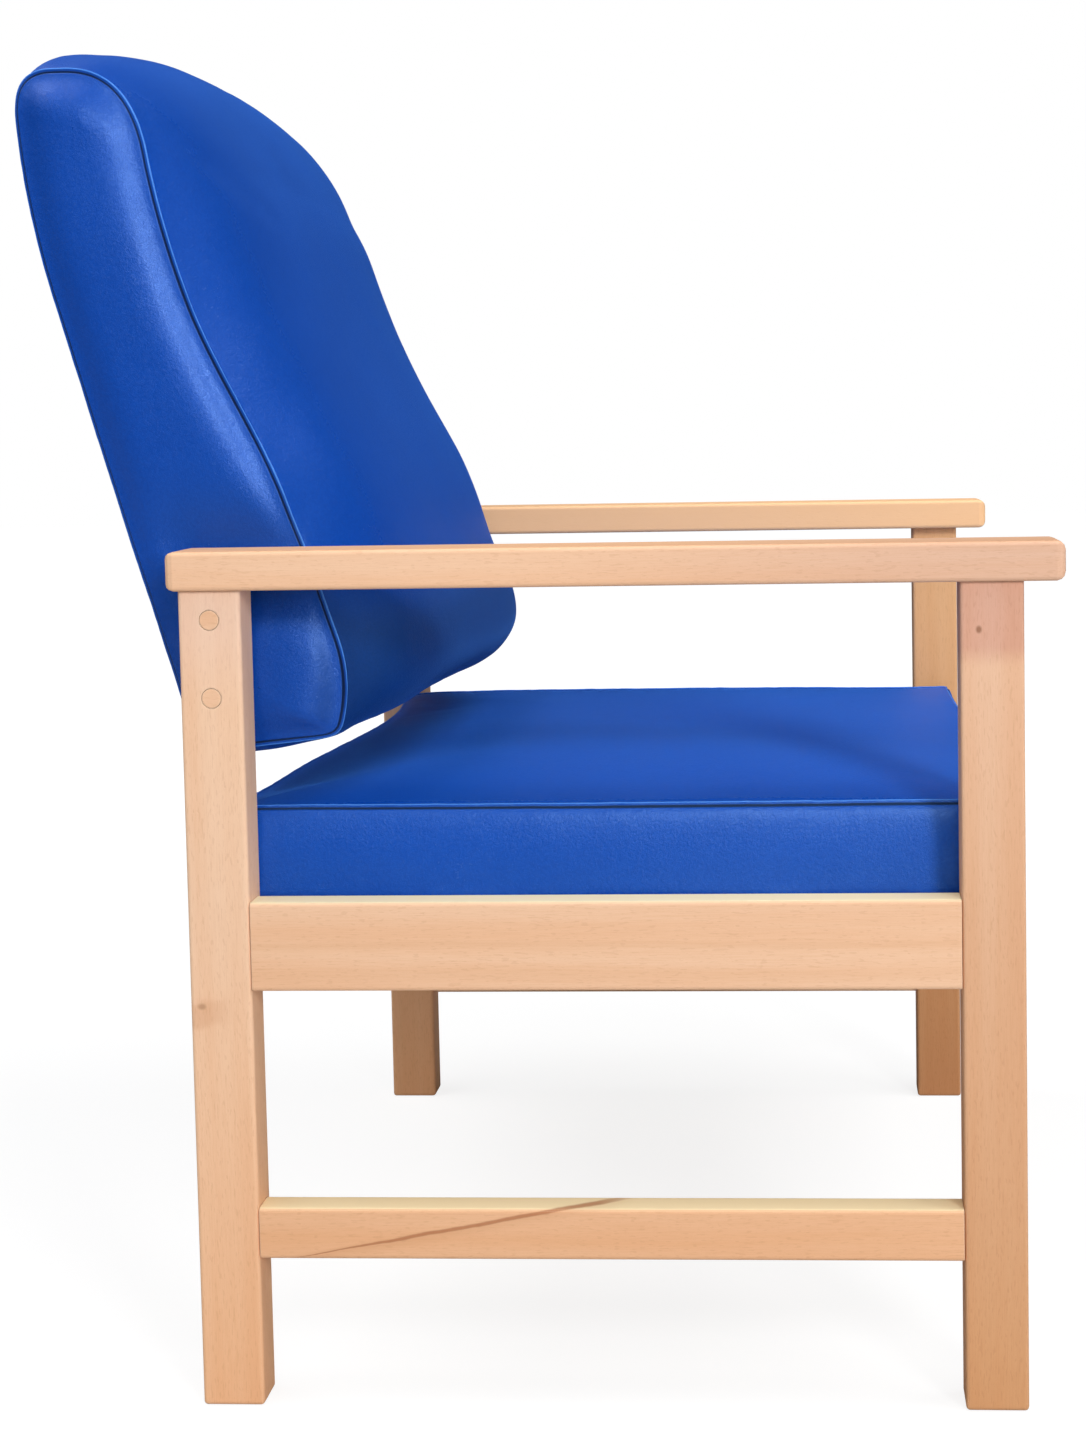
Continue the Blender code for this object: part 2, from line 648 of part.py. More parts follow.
def build_back():
    """The padded back: side outlines lofted across a crown, with drawn-in side panels."""
    outline = back_outline()
    normals = outline_normals(outline)
    half = LEG_INNER - TOUCH
    seam = half - BACK_SEAM_PULL
    mesh = bpy.data.meshes.new("back_cushion")
    bm = bmesh.new()

    def panel_ring(side, share):
        """One ring of a side panel, from its seam (0) to the flat middle (1)."""
        x = side * (seam + BACK_SEAM_PULL * math.sin(share * math.pi / 2))
        points = [p.lerp(back_spine(p), 0.55 * share) for p in outline]
        return [bm.verts.new((x, p.x, p.y)) for p in points]

    rings = [panel_ring(-1, share) for share in (1.0, 0.5, 0.2)]
    for station in range(BACK_STATIONS):
        across = math.sin(math.pi / 2 * (2 * station / (BACK_STATIONS - 1) - 1))
        made = []
        for point, normal in zip(outline, normals):
            moved = point + normal * crown(point, normal, across)
            made.append(bm.verts.new((seam * across, moved.x, moved.y)))
        rings.append(made)
    rings += [panel_ring(1, share) for share in (0.2, 0.5, 1.0)]
    skin(bm, rings)
    bm.faces.new(list(reversed(rings[0])))
    bm.faces.new(rings[-1])
    bmesh.ops.recalc_face_normals(bm, faces=bm.faces)
    bm.to_mesh(mesh)
    bm.free()
    cushion = place(mesh, "back_cushion", VINYL, (0, 0, 0))
    for side_name, side in SIDES.items():
        low, high = mirrored(
            (ARM_INNER, -HALF_DEPTH, LEG_HEIGHT),
            (ARM_OUTER, HALF_DEPTH + ARM_REAR_OVER, ARM_TOP), side)
        boolean(cushion, box(f"arm_press_{side_name}", *grown(low, high, ARM_PRESS_GAP)))
    shade(cushion)
    return cushion


def leaning_box(name, x_low, x_high, depth, inset, grow, material=None):
    """A box that leans with the back, about the line through the middle of the bolts."""
    length = STILE_BELOW + STILE_ABOVE - 2 * inset
    mid = (STILE_ABOVE - STILE_BELOW) / 2
    middle_y = LEG_MID_Y + mid * math.sin(BACK_LEAN)
    middle_z = BOLT_MID_HEIGHT + mid * math.cos(BACK_LEAN)
    low, high = grown(
        (x_low, middle_y - depth / 2, middle_z - length / 2),
        (x_high, middle_y + depth / 2, middle_z + length / 2), grow)
    return box(name, low, high, material, (-BACK_LEAN, 0, 0))


def build_back_frame(cushion, legs):
    """Two stiles and a board inside the back, bolted through the rear legs."""
    panel_half = STILE_INNER - TOUCH
    panel = (-panel_half, panel_half, PANEL_THICKNESS, PANEL_END_INSET)
    leaning_box("back_board", *panel, 0.0, PLYWOOD)
    boolean(cushion, leaning_box("pocket_back_board", *panel, TOUCH))
    for side_name, side in SIDES.items():
        post = (*sorted((side * STILE_INNER, side * STILE_OUTER)), STILE_DEPTH, 0.0)
        stile = leaning_box(f"back_stile_{side_name}", *post, 0.0, BEECH)
        boolean(cushion, leaning_box(f"pocket_back_stile_{side_name}", *post, TOUCH))
        for level, height in BOLT_HEIGHTS.items():
            fasten_back(f"{level}_{side_name}", side, height, stile, cushion, legs["rear", side_name])


def fasten_back(where, side, height, stile, cushion, leg):
    """One bolt with its head let into the leg, the plug over it and the insert that takes it."""
    outward = (side, 0, 0)

    def at(x):
        return (side * x, LEG_MID_Y, height)

    length = HEAD_SEAT - BOLT_TIP
    turned(f"back_bolt_{where}",
           stepped_profile(BOLT_RADIUS, BOLT_HEAD_RADIUS, length, length + BOLT_HEAD_LENGTH),
           STEEL, at(BOLT_TIP), outward)
    turned(f"back_plug_{where}", rod_profile(PLUG_RADIUS, PLUG_LENGTH, 0.0),
           BEECH, at(HALF_WIDTH - PLUG_LENGTH), outward)
    turned(f"back_insert_{where}", [
        (BOLT_RADIUS + TOUCH, INSERT_LENGTH - TOUCH),
        (INSERT_RADIUS, INSERT_LENGTH - TOUCH),
        (INSERT_RADIUS, 0.0),
        (BOLT_RADIUS + TOUCH, 0.0),
    ], STEEL, at(STILE_OUTER - INSERT_LENGTH), outward)
    hole = BOLT_RADIUS + TOUCH
    head_hole = PLUG_RADIUS + TOUCH
    insert_hole = INSERT_RADIUS + TOUCH
    drill(leg, f"leg_hole_{where}",
          stepped_profile(hole, head_hole, HEAD_SEAT - LEG_INNER, 2 * LEG_WIDTH),
          at(LEG_INNER - TOUCH), outward)
    drill(cushion, f"cover_hole_{where}",
          rod_profile(hole, 2 * STILE_BORDER, 0.0), at(STILE_OUTER - TOUCH), outward)
    drill(stile, f"stile_hole_{where}",
          stepped_profile(hole, insert_hole, BOLT_PAST_INSERT, 2 * STILE_WIDTH),
          at(BOLT_TIP - TOUCH), outward)


def centre_on_floor():
    """Moves the frame so that the chair's overall box is centred on the origin."""
    outline = back_outline()
    reach = [p.x + n.x * crown(p, n, 0.0) for p, n in zip(outline, outline_normals(outline))]
    front = -HALF_DEPTH - ARM_FRONT_OVER
    MIDDLE.location = (0, -(front + max(reach)) / 2, 0)


def main():
    legs = build_legs()
    build_arms(legs)
    build_rails(legs)
    board_box = board_corners()
    board = box("seat_board", *board_box, PLYWOOD)
    build_seat_support(legs, board)
    build_seat(board_box)
    cushion = build_back()
    build_back_frame(cushion, legs)
    centre_on_floor()


main()
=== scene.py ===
"""Studio scene of a high-backed bariatric armchair: beech frame, blue vinyl seat and back.

Metres, +Z up. The chair faces -Y and +X is the sitter's left. Sizes in the cushion code are
measured from the middle of the leg frame, whose place comes from the frame's own nodes.
"""
import math

import bpy
import numpy as np
from mathutils import Matrix, Vector, noise


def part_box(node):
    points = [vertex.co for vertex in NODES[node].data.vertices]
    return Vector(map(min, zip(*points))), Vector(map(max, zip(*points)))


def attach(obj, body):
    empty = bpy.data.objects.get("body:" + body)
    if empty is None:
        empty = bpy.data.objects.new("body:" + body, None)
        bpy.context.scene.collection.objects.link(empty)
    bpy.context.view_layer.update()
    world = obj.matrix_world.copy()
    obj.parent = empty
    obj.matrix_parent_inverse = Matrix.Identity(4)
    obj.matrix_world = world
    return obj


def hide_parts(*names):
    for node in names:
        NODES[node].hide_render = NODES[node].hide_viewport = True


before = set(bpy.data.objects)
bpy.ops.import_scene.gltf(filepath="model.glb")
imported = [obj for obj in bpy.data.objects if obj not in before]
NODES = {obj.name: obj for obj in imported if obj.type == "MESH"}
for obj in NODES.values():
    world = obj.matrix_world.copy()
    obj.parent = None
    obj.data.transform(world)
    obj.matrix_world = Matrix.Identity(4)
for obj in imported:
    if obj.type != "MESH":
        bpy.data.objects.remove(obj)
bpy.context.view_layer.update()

SIDES = ("right", "left")
ENDS = ("front", "rear")

# The leg frame
FRONT_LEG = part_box("front_leg_right")
REAR_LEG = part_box("rear_leg_right")
MIDDLE_Y = (FRONT_LEG[0].y + REAR_LEG[1].y) / 2
LEG_OUTER = -FRONT_LEG[0].x
LEG_INNER = -FRONT_LEG[1].x
LEG_INSIDE_Y = REAR_LEG[0].y - MIDDLE_Y
ARM_LOW, ARM_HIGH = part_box("arm_left")

# Back cushion, as in the solids
BACK_BOTTOM = 0.513
BACK_HEIGHT = 0.5245
BACK_FOOT_Y = 0.3236
BACK_LEAN = math.radians(16.2)
BACK_BEND_AT = 0.347
BACK_BEND = 0.025
BACK_THICK_FOOT = 0.124
BACK_THICK_TOP = 0.092
BACK_LUMBAR = 0.0165
LUMBAR_LOW = 0.190
LUMBAR_HIGH = 0.345
BACK_TUCK = 0.031            # the front draws back this much at the foot
BACK_TUCK_REACH = 0.083
BACK_BASE_SLOPE = 0.10
ROUND_TOP_REAR = 0.032
ROUND_TOP_FRONT = 0.073
ROUND_FOOT_FRONT = 0.010
ROUND_FOOT_REAR = 0.020
CROWN_TOP = 0.0465
FOOT_SWAY = 0.0085           # the lower front edge stands out this much more on the far half
FOOT_SWAY_REACH = 0.044
CROWN_FOOT = 0.015
CROWN_REAR = 0.006
CHIN_CROWN = 0.0070          # swell of the lower front edge, close to the seams
CHIN_POWER = 8.0             # how fast the crowns die away round the lower edge
FRONT_CROWN = (              # height on the cushion, how far the front stands out there
    (0.00, 0.022), (0.04, 0.063), (0.07, 0.0630), (0.11, 0.0580), (0.16, 0.0625), (0.20, 0.0590),
    (0.25, 0.0565), (0.30, 0.059), (0.35, 0.057), (0.40, 0.0545), (0.44, 0.0475), (0.48, 0.033),
    (0.525, 0.022))
BACK_WIDTH = 0.3590          # half width of the side panels' flat middle
BACK_PULL = 0.0120           # the seams are drawn in this much
BACK_PULL_REACH = 0.0195     # distance over which a side panel curves in to its seam

# Seat cushion
SEAT_FRONT = 0.320
SEAT_REAR = 0.308
SEAT_REAR_SAG = (            # across the rear edge, how far its seam lies below the others
    (-0.3635, 0.0020), (-0.30, 0.0040), (-0.10, 0.0090), (0.04, 0.0135), (0.16, 0.0165),
    (0.22, 0.0170), (0.29, 0.0165), (0.3635, 0.0130))
SEAT_SAG_REACH = 0.22        # the sag dies out over this distance from the rear edge
SEAT_SKEW = 0.006            # the rear edge runs this much askew at each end
SEAT_HALF = 0.3635
SEAT_BASE = 0.3925
SEAT_SEAM = 0.4615
SEAT_CORNER = 0.018
SEAT_BULGE = 0.004
SEAT_PULL = 0.0115
SEAT_PULL_REACH = 0.018
SEAT_SHOULDERS = {"left": 0.001, "right": 0.0105, "front": 0.006, "rear": 0.002}  # quick rises
SEAT_SHOULDER_REACH = 0.015
SEAT_SHOULDER_POWER = 1.3
SEAT_CROWN = 0.0180          # whole rise of the top panel
SEAT_CROWN_POWER = 2.2

# Seams
GROOVE_DEPTH = 0.0024
GROOVE_WIDTH = 0.0009
LIP_HEIGHT = 0.0016          # rolled edge beside the groove
LIP_WIDTH = 0.0008
LIP_AT = 0.0024
SEAM_STEPS = np.array([      # distances from a seam at which the covers have a row of points
    0.0, 0.25, 0.5, 0.75, 1.0, 1.3, 1.6, 1.9, 2.2, 2.5,
    2.9, 3.4, 4.2, 5.2, 6.5, 8.2, 10.3, 12.8]) / 1000
BACK_PANEL_STEPS = np.array([15, 18.5, 22.5, 27, 32, 37]) / 1000
SEAT_SIDE_STEPS = np.array([15, 18.5, 23, 28, 34, 41, 49, 57, 64]) / 1000
SEAT_TOP_STEPS = np.array([15, 19, 24, 30, 37, 45, 54, 65, 78]) / 1000
PANEL_SHARES = (0.2, 0.4, 0.6, 0.8, 0.97)      # rings that close a side panel towards its middle

# Points round each cover, parallel to its seams
BACK_POINTS = 460
SEAT_POINTS = 560

# Cloth
CLOTH_CELL = 0.009
CLOTH_COLUMNS = 4
CLOTH_FRAMES = 20
CLOTH_GRIP = 0.008           # the cover is held this close to its seams
CLOTH_CAP = 0.005
CLOTH_START = 0.002          # the covers start this much smaller
CLOTH_FADE = 0.012           # the movement grows from a seam over about this distance
WAVES = 0.0009               # height of the foam's unevenness


# ---------------------------------------------------------------- small helpers

def smoothstep(value, low, high):
    share = np.clip((np.asarray(value, float) - low) / (high - low), 0.0, 1.0)
    return share * share * (3 - 2 * share)


def wave(values, seed, scale):
    """Smooth noise from -1 to 1 along a list of numbers."""
    return np.array([noise.noise(Vector((v * scale, seed * 7.31, seed * 3.17))) for v in values])


def zip_faces(height):
    """Triangles that close a ring folded onto a line: they join its two sides from the top down."""
    count = len(height)
    start = int(height.argmax())
    front, rear = (start + 1) % count, start
    faces = []
    for _ in range(count - 2):
        ahead, behind = (front + 1) % count, (rear - 1) % count
        if height[ahead] > height[behind]:
            faces.append((rear, front, ahead))
            front = ahead
        else:
            faces.append((rear, front, behind))
            rear = behind
    return faces


def grid_object(name, grid, material, folded=None):
    """A mesh from rings of points (rings, points, xyz), each ring closed on itself.

    The first and last rings are capped by one face each, or zipped up where folded gives heights.
    """
    rings, count = grid.shape[:2]
    verts = grid.reshape(-1, 3)
    faces = []
    for r in range(rings - 1):
        for c in range(count):
            d = (c + 1) % count
            faces.append((r * count + c, r * count + d, (r + 1) * count + d, (r + 1) * count + c))
    cap = [tuple(range(count))] if folded is None else zip_faces(folded)
    faces += [tuple(reversed(face)) for face in cap]
    faces += [tuple(index + (rings - 1) * count for index in face) for face in cap]
    mesh = bpy.data.meshes.new(name)
    mesh.from_pydata([tuple(v) for v in verts], [], faces)
    mesh.update()
    mesh.shade_smooth()
    if material:
        mesh.materials.append(material)
    obj = bpy.data.objects.new(name, mesh)
    bpy.context.scene.collection.objects.link(obj)
    return obj


def grid_normals(grid):
    """Unit normals of a grid of rings, closed along each ring."""
    along = np.roll(grid, -1, axis=1) - np.roll(grid, 1, axis=1)
    across = np.gradient(grid, axis=0)
    normals = np.cross(along, across)
    length = np.linalg.norm(normals, axis=2, keepdims=True)
    return normals / np.maximum(length, 1e-12)


def resample(points, count):
    """A closed outline with its points evenly spaced."""
    closed = np.vstack([points, points[:1]])
    steps = np.linalg.norm(np.diff(closed, axis=0), axis=1)
    distance = np.concatenate([[0], np.cumsum(steps)])
    wanted = np.linspace(0, distance[-1], count, endpoint=False)
    return np.stack([np.interp(wanted, distance, closed[:, i]) for i in range(2)], axis=1), wanted


# ---------------------------------------------------------------- materials

class Shader:
    """A material's node tree with one Principled BSDF, and short ways to add nodes to it."""

    def __init__(self, name):
        self.material = bpy.data.materials.new(name)
        self.material.use_nodes = True
        self.tree = self.material.node_tree
        self.surface = self.tree.nodes["Principled BSDF"]
        self.coordinates = self.add("ShaderNodeTexCoord").outputs["Object"]

    def add(self, kind, **settings):
        node = self.tree.nodes.new(kind)
        for key, value in settings.items():
            setattr(node, key, value)
        return node

    def put(self, socket, value):
        if isinstance(value, bpy.types.NodeSocket):
            self.tree.links.new(value, socket)
        else:
            socket.default_value = value

    def math(self, operation, a, b=0.0, clamp=False):
        node = self.add("ShaderNodeMath", operation=operation, use_clamp=clamp)
        for socket, value in zip(node.inputs, (a, b)):
            self.put(socket, value)
        return node.outputs[0]

    def vector(self, operation, a, b=(0, 0, 0)):
        node = self.add("ShaderNodeVectorMath", operation=operation)
        self.put(node.inputs[0], a)
        self.put(node.inputs[1], b)
        return node.outputs[0]

    def mapped(self, vector, scale=(1, 1, 1), move=(0, 0, 0), turn=(0, 0, 0)):
        node = self.add("ShaderNodeMapping")
        self.put(node.inputs["Vector"], vector)
        node.inputs["Scale"].default_value = scale
        node.inputs["Location"].default_value = move
        node.inputs["Rotation"].default_value = turn
        return node.outputs[0]

    def noise(self, vector, scale, detail=2.0, roughness=0.5, distortion=0.0, output=0):
        node = self.add("ShaderNodeTexNoise")
        self.put(node.inputs["Vector"], vector)
        node.inputs["Scale"].default_value = scale
        node.inputs["Detail"].default_value = detail
        node.inputs["Roughness"].default_value = roughness
        node.inputs["Distortion"].default_value = distortion
        return node.outputs[output]

    def cells(self, vector, scale, feature="F1"):
        node = self.add("ShaderNodeTexVoronoi", feature=feature)
        self.put(node.inputs["Vector"], vector)
        node.inputs["Scale"].default_value = scale
        return node.outputs[0]

    def ramp(self, value, low, high, start=0.0, end=1.0, smooth=True):
        kind = "SMOOTHSTEP" if smooth else "LINEAR"
        node = self.add("ShaderNodeMapRange", interpolation_type=kind)
        self.put(node.inputs["Value"], value)
        ends = {"From Min": low, "From Max": high, "To Min": start, "To Max": end}
        for key, number in ends.items():
            self.put(node.inputs[key], number)
        return node.outputs[0]

    def mix(self, share, a, b, blend="MIX"):
        node = self.add("ShaderNodeMix", data_type="RGBA", blend_type=blend)
        self.put(node.inputs[0], share)
        self.put(node.inputs[6], a if isinstance(a, bpy.types.NodeSocket) else (*a, 1.0))
        self.put(node.inputs[7], b if isinstance(b, bpy.types.NodeSocket) else (*b, 1.0))
        return node.outputs[2]

    def shift(self, value, amount):
        """A noise from 0 to 1 made into a shift to either side."""
        return self.math("MULTIPLY", self.math("SUBTRACT", value, 0.5), amount)

    def separate(self, vector):
        node = self.add("ShaderNodeSeparateXYZ")
        self.put(node.inputs[0], vector)
        return node.outputs

    def bump(self, height, strength, distance, normal=None):
        node = self.add("ShaderNodeBump")
        node.inputs["Strength"].default_value = strength
        node.inputs["Distance"].default_value = distance
        self.put(node.inputs["Height"], height)
        if normal is not None:
            self.put(node.inputs["Normal"], normal)
        return node.outputs[0]

    def finish(self, **inputs):
        for key, value in inputs.items():
            self.put(self.surface.inputs[key.replace("_", " ")], value)
        return self.material


GRAIN_TURN = {"x": (0, 0, 0), "y": (0, 0, math.pi / 2), "z": (0, math.pi / 2, 0)}
BEECH_PALE = (0.900, 0.605, 0.415)
BEECH_WARM = (0.830, 0.485, 0.290)
BEECH_DEEP = (0.670, 0.340, 0.160)
BEECH_FLECK = (0.560, 0.270, 0.140)


def beech(name, grain, seed, tone=0.0, marks=None):
    """Lacquered steamed beech with its grain along an axis: bands, fibres, short ray flecks and a
    painted highlight along the arrises.

    marks(shader, colour, place) may add what one piece shows by itself, and painted shade and
    highlight.
    """
    s = Shader(name)
    place = s.coordinates
    turned = s.mapped(place, turn=GRAIN_TURN[grain], move=(seed * 1.7, seed * 0.9, seed * 1.3))
    drift = s.noise(s.mapped(turned, scale=(1.6, 6, 6)), 1.0, 1.0)
    offset = s.shift(drift, 0.020)
    combine = s.add("ShaderNodeCombineXYZ")
    s.put(combine.inputs[1], offset)
    s.put(combine.inputs[2], offset)
    wavy = s.vector("ADD", turned, combine.outputs[0])
    bands = s.noise(s.mapped(wavy, scale=(1.3, 46, 46)), 1.0, 3.0, 0.55)
    figure = s.noise(s.mapped(wavy, scale=(0.9, 9, 9)), 1.0, 1.0)
    fibres = s.noise(s.mapped(wavy, scale=(38, 1250, 1250)), 1.0, 2.0, 0.6)
    rays = s.noise(s.mapped(wavy, scale=(150, 820, 820)), 1.0, 0.0)
    pores = s.noise(s.mapped(wavy, scale=(420, 2300, 2300)), 1.0, 0.0)
    fleck = s.ramp(rays, 0.645, 0.73)
    pore = s.ramp(pores, 0.66, 0.74)
    share = s.math("ADD", s.ramp(bands, 0.30, 0.72), s.shift(figure, 0.9))
    share = s.math("ADD", s.math("MULTIPLY", share, 0.55), 0.12 + tone, clamp=True)
    colour = s.mix(share, BEECH_PALE, BEECH_WARM)
    colour = s.mix(s.math("MULTIPLY", s.ramp(fibres, 0.35, 0.75), 0.17), colour, BEECH_DEEP)
    colour = s.mix(s.math("MULTIPLY", fleck, 0.16), colour, BEECH_FLECK)
    colour = s.mix(s.math("MULTIPLY", pore, 0.09), colour, BEECH_FLECK)
    if marks:
        colour = marks(s, colour, place)
    height = s.math("ADD", s.math("MULTIPLY", fibres, 0.5),
                    s.math("MULTIPLY", s.math("ADD", fleck, pore), -0.6))
    # painted highlight: the arrises are lighter where the bevelled normal turns away from the face
    edge = s.add("ShaderNodeBevel", samples=6)
    edge.inputs["Radius"].default_value = 0.0016
    face = s.add("ShaderNodeNewGeometry").outputs["Normal"]
    alike = s.add("ShaderNodeVectorMath", operation="DOT_PRODUCT")
    s.put(alike.inputs[0], edge.outputs[0])
    s.put(alike.inputs[1], face)
    painted_edge_highlight = s.ramp(alike.outputs["Value"], 0.995, 0.90, 0.0, 0.55)
    colour = s.mix(painted_edge_highlight, colour, (0.93, 0.70, 0.50))
    normal = s.bump(height, 0.22, 0.00025, edge.outputs[0])
    gloss = s.ramp(fibres, 0.2, 0.8, 0.44, 0.58)
    return s.finish(Base_Color=colour, Roughness=gloss, Normal=normal, IOR=1.46,
                    Specular_IOR_Level=0.10)


def spot(s, place, centre, radii, soft=0.35):
    """1 inside an ellipsoid and 0 outside, with a soft edge."""
    away = s.mapped(s.vector("SUBTRACT", place, centre), scale=[1 / r for r in radii])
    length = s.add("ShaderNodeVectorMath", operation="LENGTH")
    s.put(length.inputs[0], away)
    return s.ramp(length.outputs["Value"], 1 - soft, 1 + soft, 1.0, 0.0)


def painted_floor_shade(strength, top=0.62, tint=(1.0, 0.76, 0.52)):
    """Painted shade: a colour that darkens and warms slowly towards the floor, for the shade that
    deepens there.
    """
    def marks(s, colour, place):
        depth = s.ramp(s.separate(place)[2], top, 0.02, smooth=False)
        return s.mix(s.math("MULTIPLY", depth, strength), colour, tint, "MULTIPLY")
    return marks


def upward(s):
    """1 on a piece's top face and 0 on its sides."""
    return s.ramp(s.separate(s.add("ShaderNodeNewGeometry").outputs["Normal"])[2], 0.60, 0.95)


def arm_shade(s, colour, place):
    """Painted shade: the arm's top is darker than its sides, and its front end a little darker and
    pinker, for less light there.
    """
    # painted shade towards the front end
    ahead = s.ramp(s.separate(place)[1], MIDDLE_Y + 0.10, MIDDLE_Y - 0.34)
    colour = s.mix(ahead, colour, (0.86, 0.86, 0.94), "MULTIPLY")
    # painted shade on the top face
    return s.mix(upward(s), colour, (0.92, 0.86, 0.76), "MULTIPLY")


def far_arm_shade(s, colour, place):
    """Painted shade: a warm deep tone for the far arm, which lies in shade, that leaves little of
    the grain.
    """
    return s.mix(0.8, colour, (1.00, 0.60, 0.31))


def far_leg_shade(s, colour, place):
    """Painted shade: a deeper tone for the shaded far legs, and deeper again below the seat."""
    colour = s.mix(1.0, colour, (0.98, 0.86, 0.63), "MULTIPLY")
    return painted_floor_shade(1.0, 0.62, (0.72, 0.61, 0.58))(s, colour, place)


def front_leg_marks_and_shade(s, colour, place):
    """Paler wood with a blush, painted shade towards the floor, and a small dark knot under the
    arm.
    """
    colour = s.mix(1.0, colour, (0.925, 0.925, 0.960), "MULTIPLY")
    # painted shade towards the floor
    colour = painted_floor_shade(1.0, 0.62, (0.84, 0.67, 0.47))(s, colour, place)
    y = MIDDLE_Y - 0.286
    blush = s.ramp(s.separate(place)[2], 0.571, 0.590)
    colour = s.mix(blush, colour, (0.86, 0.76, 0.81), "MULTIPLY")
    knot = spot(s, place, (-LEG_OUTER, y, 0.601), (0.004, 0.0020, 0.0026), 0.5)
    return s.mix(s.math("MULTIPLY", knot, 0.72), colour, (0.24, 0.10, 0.045))


def rear_leg_marks_and_shade(s, colour, place):
    """Painted shade towards the floor, and a brown band that runs in from the rear corner to a
    small knot.
    """
    # painted shade towards the floor
    colour = painted_floor_shade(0.60, 0.40)(s, colour, place)
    colour = s.mix(s.ramp(s.separate(place)[2], 0.54, 0.62, 0.0, 0.35), colour, (0.86, 0.62, 0.53))
    y = MIDDLE_Y
    ripple = s.shift(s.noise(place, 70.0, 3.0), 0.9)
    along = s.separate(place)
    slope = s.math("MULTIPLY", s.math("SUBTRACT", along[1], y + 0.294), -0.12)
    height = s.math("SUBTRACT", along[2], slope)
    away = s.math("ABSOLUTE", s.math("SUBTRACT", height, 0.312))
    band = s.ramp(s.math("ADD", s.math("DIVIDE", away, 0.011), ripple), 0.55, 1.25, 1.0, 0.0)
    outer = s.ramp(along[0], 0.004 - LEG_OUTER, 0.014 - LEG_OUTER, 1.0, 0.0)
    band = s.math("MULTIPLY", band, outer)
    band = s.math("MULTIPLY", band, s.ramp(along[1], y + 0.280, y + 0.310))
    colour = s.mix(s.math("MULTIPLY", band, 0.30), colour, (0.60, 0.27, 0.13))
    knot = spot(s, place, (-LEG_OUTER, y + 0.311, 0.316), (0.006, 0.0030, 0.0022), 0.6)
    return s.mix(s.math("MULTIPLY", knot, 0.45), colour, (0.30, 0.13, 0.06))


def stretcher_marks_and_highlight(s, colour, place):
    """A brown gum vein that climbs the outer face and runs out across the top, and a painted
    highlight on the top face.
    """
    x, y, z = s.separate(place)[:3]
    ripple = s.shift(s.noise(s.mapped(place, scale=(20, 30, 60)), 1.0, 3.0), 0.0030)
    along = s.math("SUBTRACT", MIDDLE_Y + 0.240, y)
    line = s.math("ADD", s.math("MULTIPLY", along, 0.187), 0.119)
    line = s.math("SUBTRACT", line, s.math("MULTIPLY", s.math("ADD", x, LEG_OUTER), 0.34))
    away = s.math("ADD", s.math("SUBTRACT", z, line), ripple)
    width = s.math("MULTIPLY", s.ramp(along, -0.012, 0.12, 0.15, 1.0), 0.0021)
    core = s.ramp(s.math("DIVIDE", s.math("ABSOLUTE", away), width), 0.35, 1.0, 1.0, 0.0)
    halo = s.ramp(away, -0.010, 0.0, 0.0, 1.0)
    halo = s.math("MULTIPLY", halo, s.ramp(away, 0.0, 0.003, 1.0, 0.0))
    reach = s.math("MULTIPLY", s.ramp(along, -0.03, 0.02), s.ramp(along, 0.225, 0.27, 1.0, 0.0))
    halo, core = s.math("MULTIPLY", halo, reach), s.math("MULTIPLY", core, reach)
    colour = s.mix(1.0, colour, (0.98, 0.90, 0.81), "MULTIPLY")
    # painted highlight: the top face is lighter, for light from above
    colour = s.mix(s.math("MULTIPLY", upward(s), 0.95), colour, (1.0, 0.83, 0.52))
    colour = s.mix(s.math("MULTIPLY", halo, 0.22), colour, (0.50, 0.22, 0.10))
    return s.mix(s.math("MULTIPLY", core, 0.75), colour, (0.44, 0.17, 0.075))


def rail_bands_and_highlight(s, colour, place):
    """Two darker growth bands along the outer face, and a painted highlight on the top face."""
    z = s.separate(place)[2]
    # painted highlight: the top face is lighter, for light from above
    colour = s.mix(s.math("MULTIPLY", upward(s), 0.9), colour, (1.0, 0.88, 0.56))
    sway = s.shift(s.noise(s.mapped(place, scale=(1, 3, 1)), 1.0, 1.0), 0.010)
    height = s.math("ADD", z, sway)
    for level, half, strength in ((0.3625, 0.0035, 0.16), (0.3400, 0.0060, 0.12)):
        away = s.math("DIVIDE", s.math("ABSOLUTE", s.math("SUBTRACT", height, level)), half)
        band = s.ramp(away, 0.2, 1.3, 1.0, 0.0)
        colour = s.mix(s.math("MULTIPLY", band, strength), colour, BEECH_DEEP)
    return colour


def plywood(name):
    s = Shader(name)
    plies = s.math("SINE", s.math("MULTIPLY", s.separate(s.coordinates)[2], 2 * math.pi / 0.0028))
    grain = s.noise(s.mapped(s.coordinates, scale=(2.5, 60, 60)), 1.0, 4.0, 0.6)
    colour = s.mix(s.ramp(grain, 0.3, 0.7), (0.66, 0.47, 0.30), (0.52, 0.34, 0.20))
    colour = s.mix(s.ramp(plies, 0.1, 0.6, 0.0, 0.12), colour, (0.30, 0.17, 0.09))
    return s.finish(Base_Color=colour, Roughness=0.62, Normal=s.bump(grain, 0.15, 0.0003))


def steel(name):
    s = Shader(name)
    wear = s.noise(s.mapped(s.coordinates, scale=(900, 900, 900)), 1.0, 3.0)
    colour = s.mix(wear, (0.58, 0.58, 0.57), (0.70, 0.70, 0.69))
    return s.finish(Base_Color=colour, Metallic=1.0, Roughness=s.ramp(wear, 0.2, 0.8, 0.24, 0.42))


VINYL_DEEP = (0.0020, 0.0520, 0.350)
VINYL_LIGHT = (0.0028, 0.0630, 0.410)
# painted shade in the seam grooves
VINYL_PAINTED_GROOVE_SHADE = (0.0006, 0.0060, 0.040)
# painted highlight on the rolled lip beside a seam
VINYL_PAINTED_BEAD_HIGHLIGHT = (0.070, 0.270, 0.820)


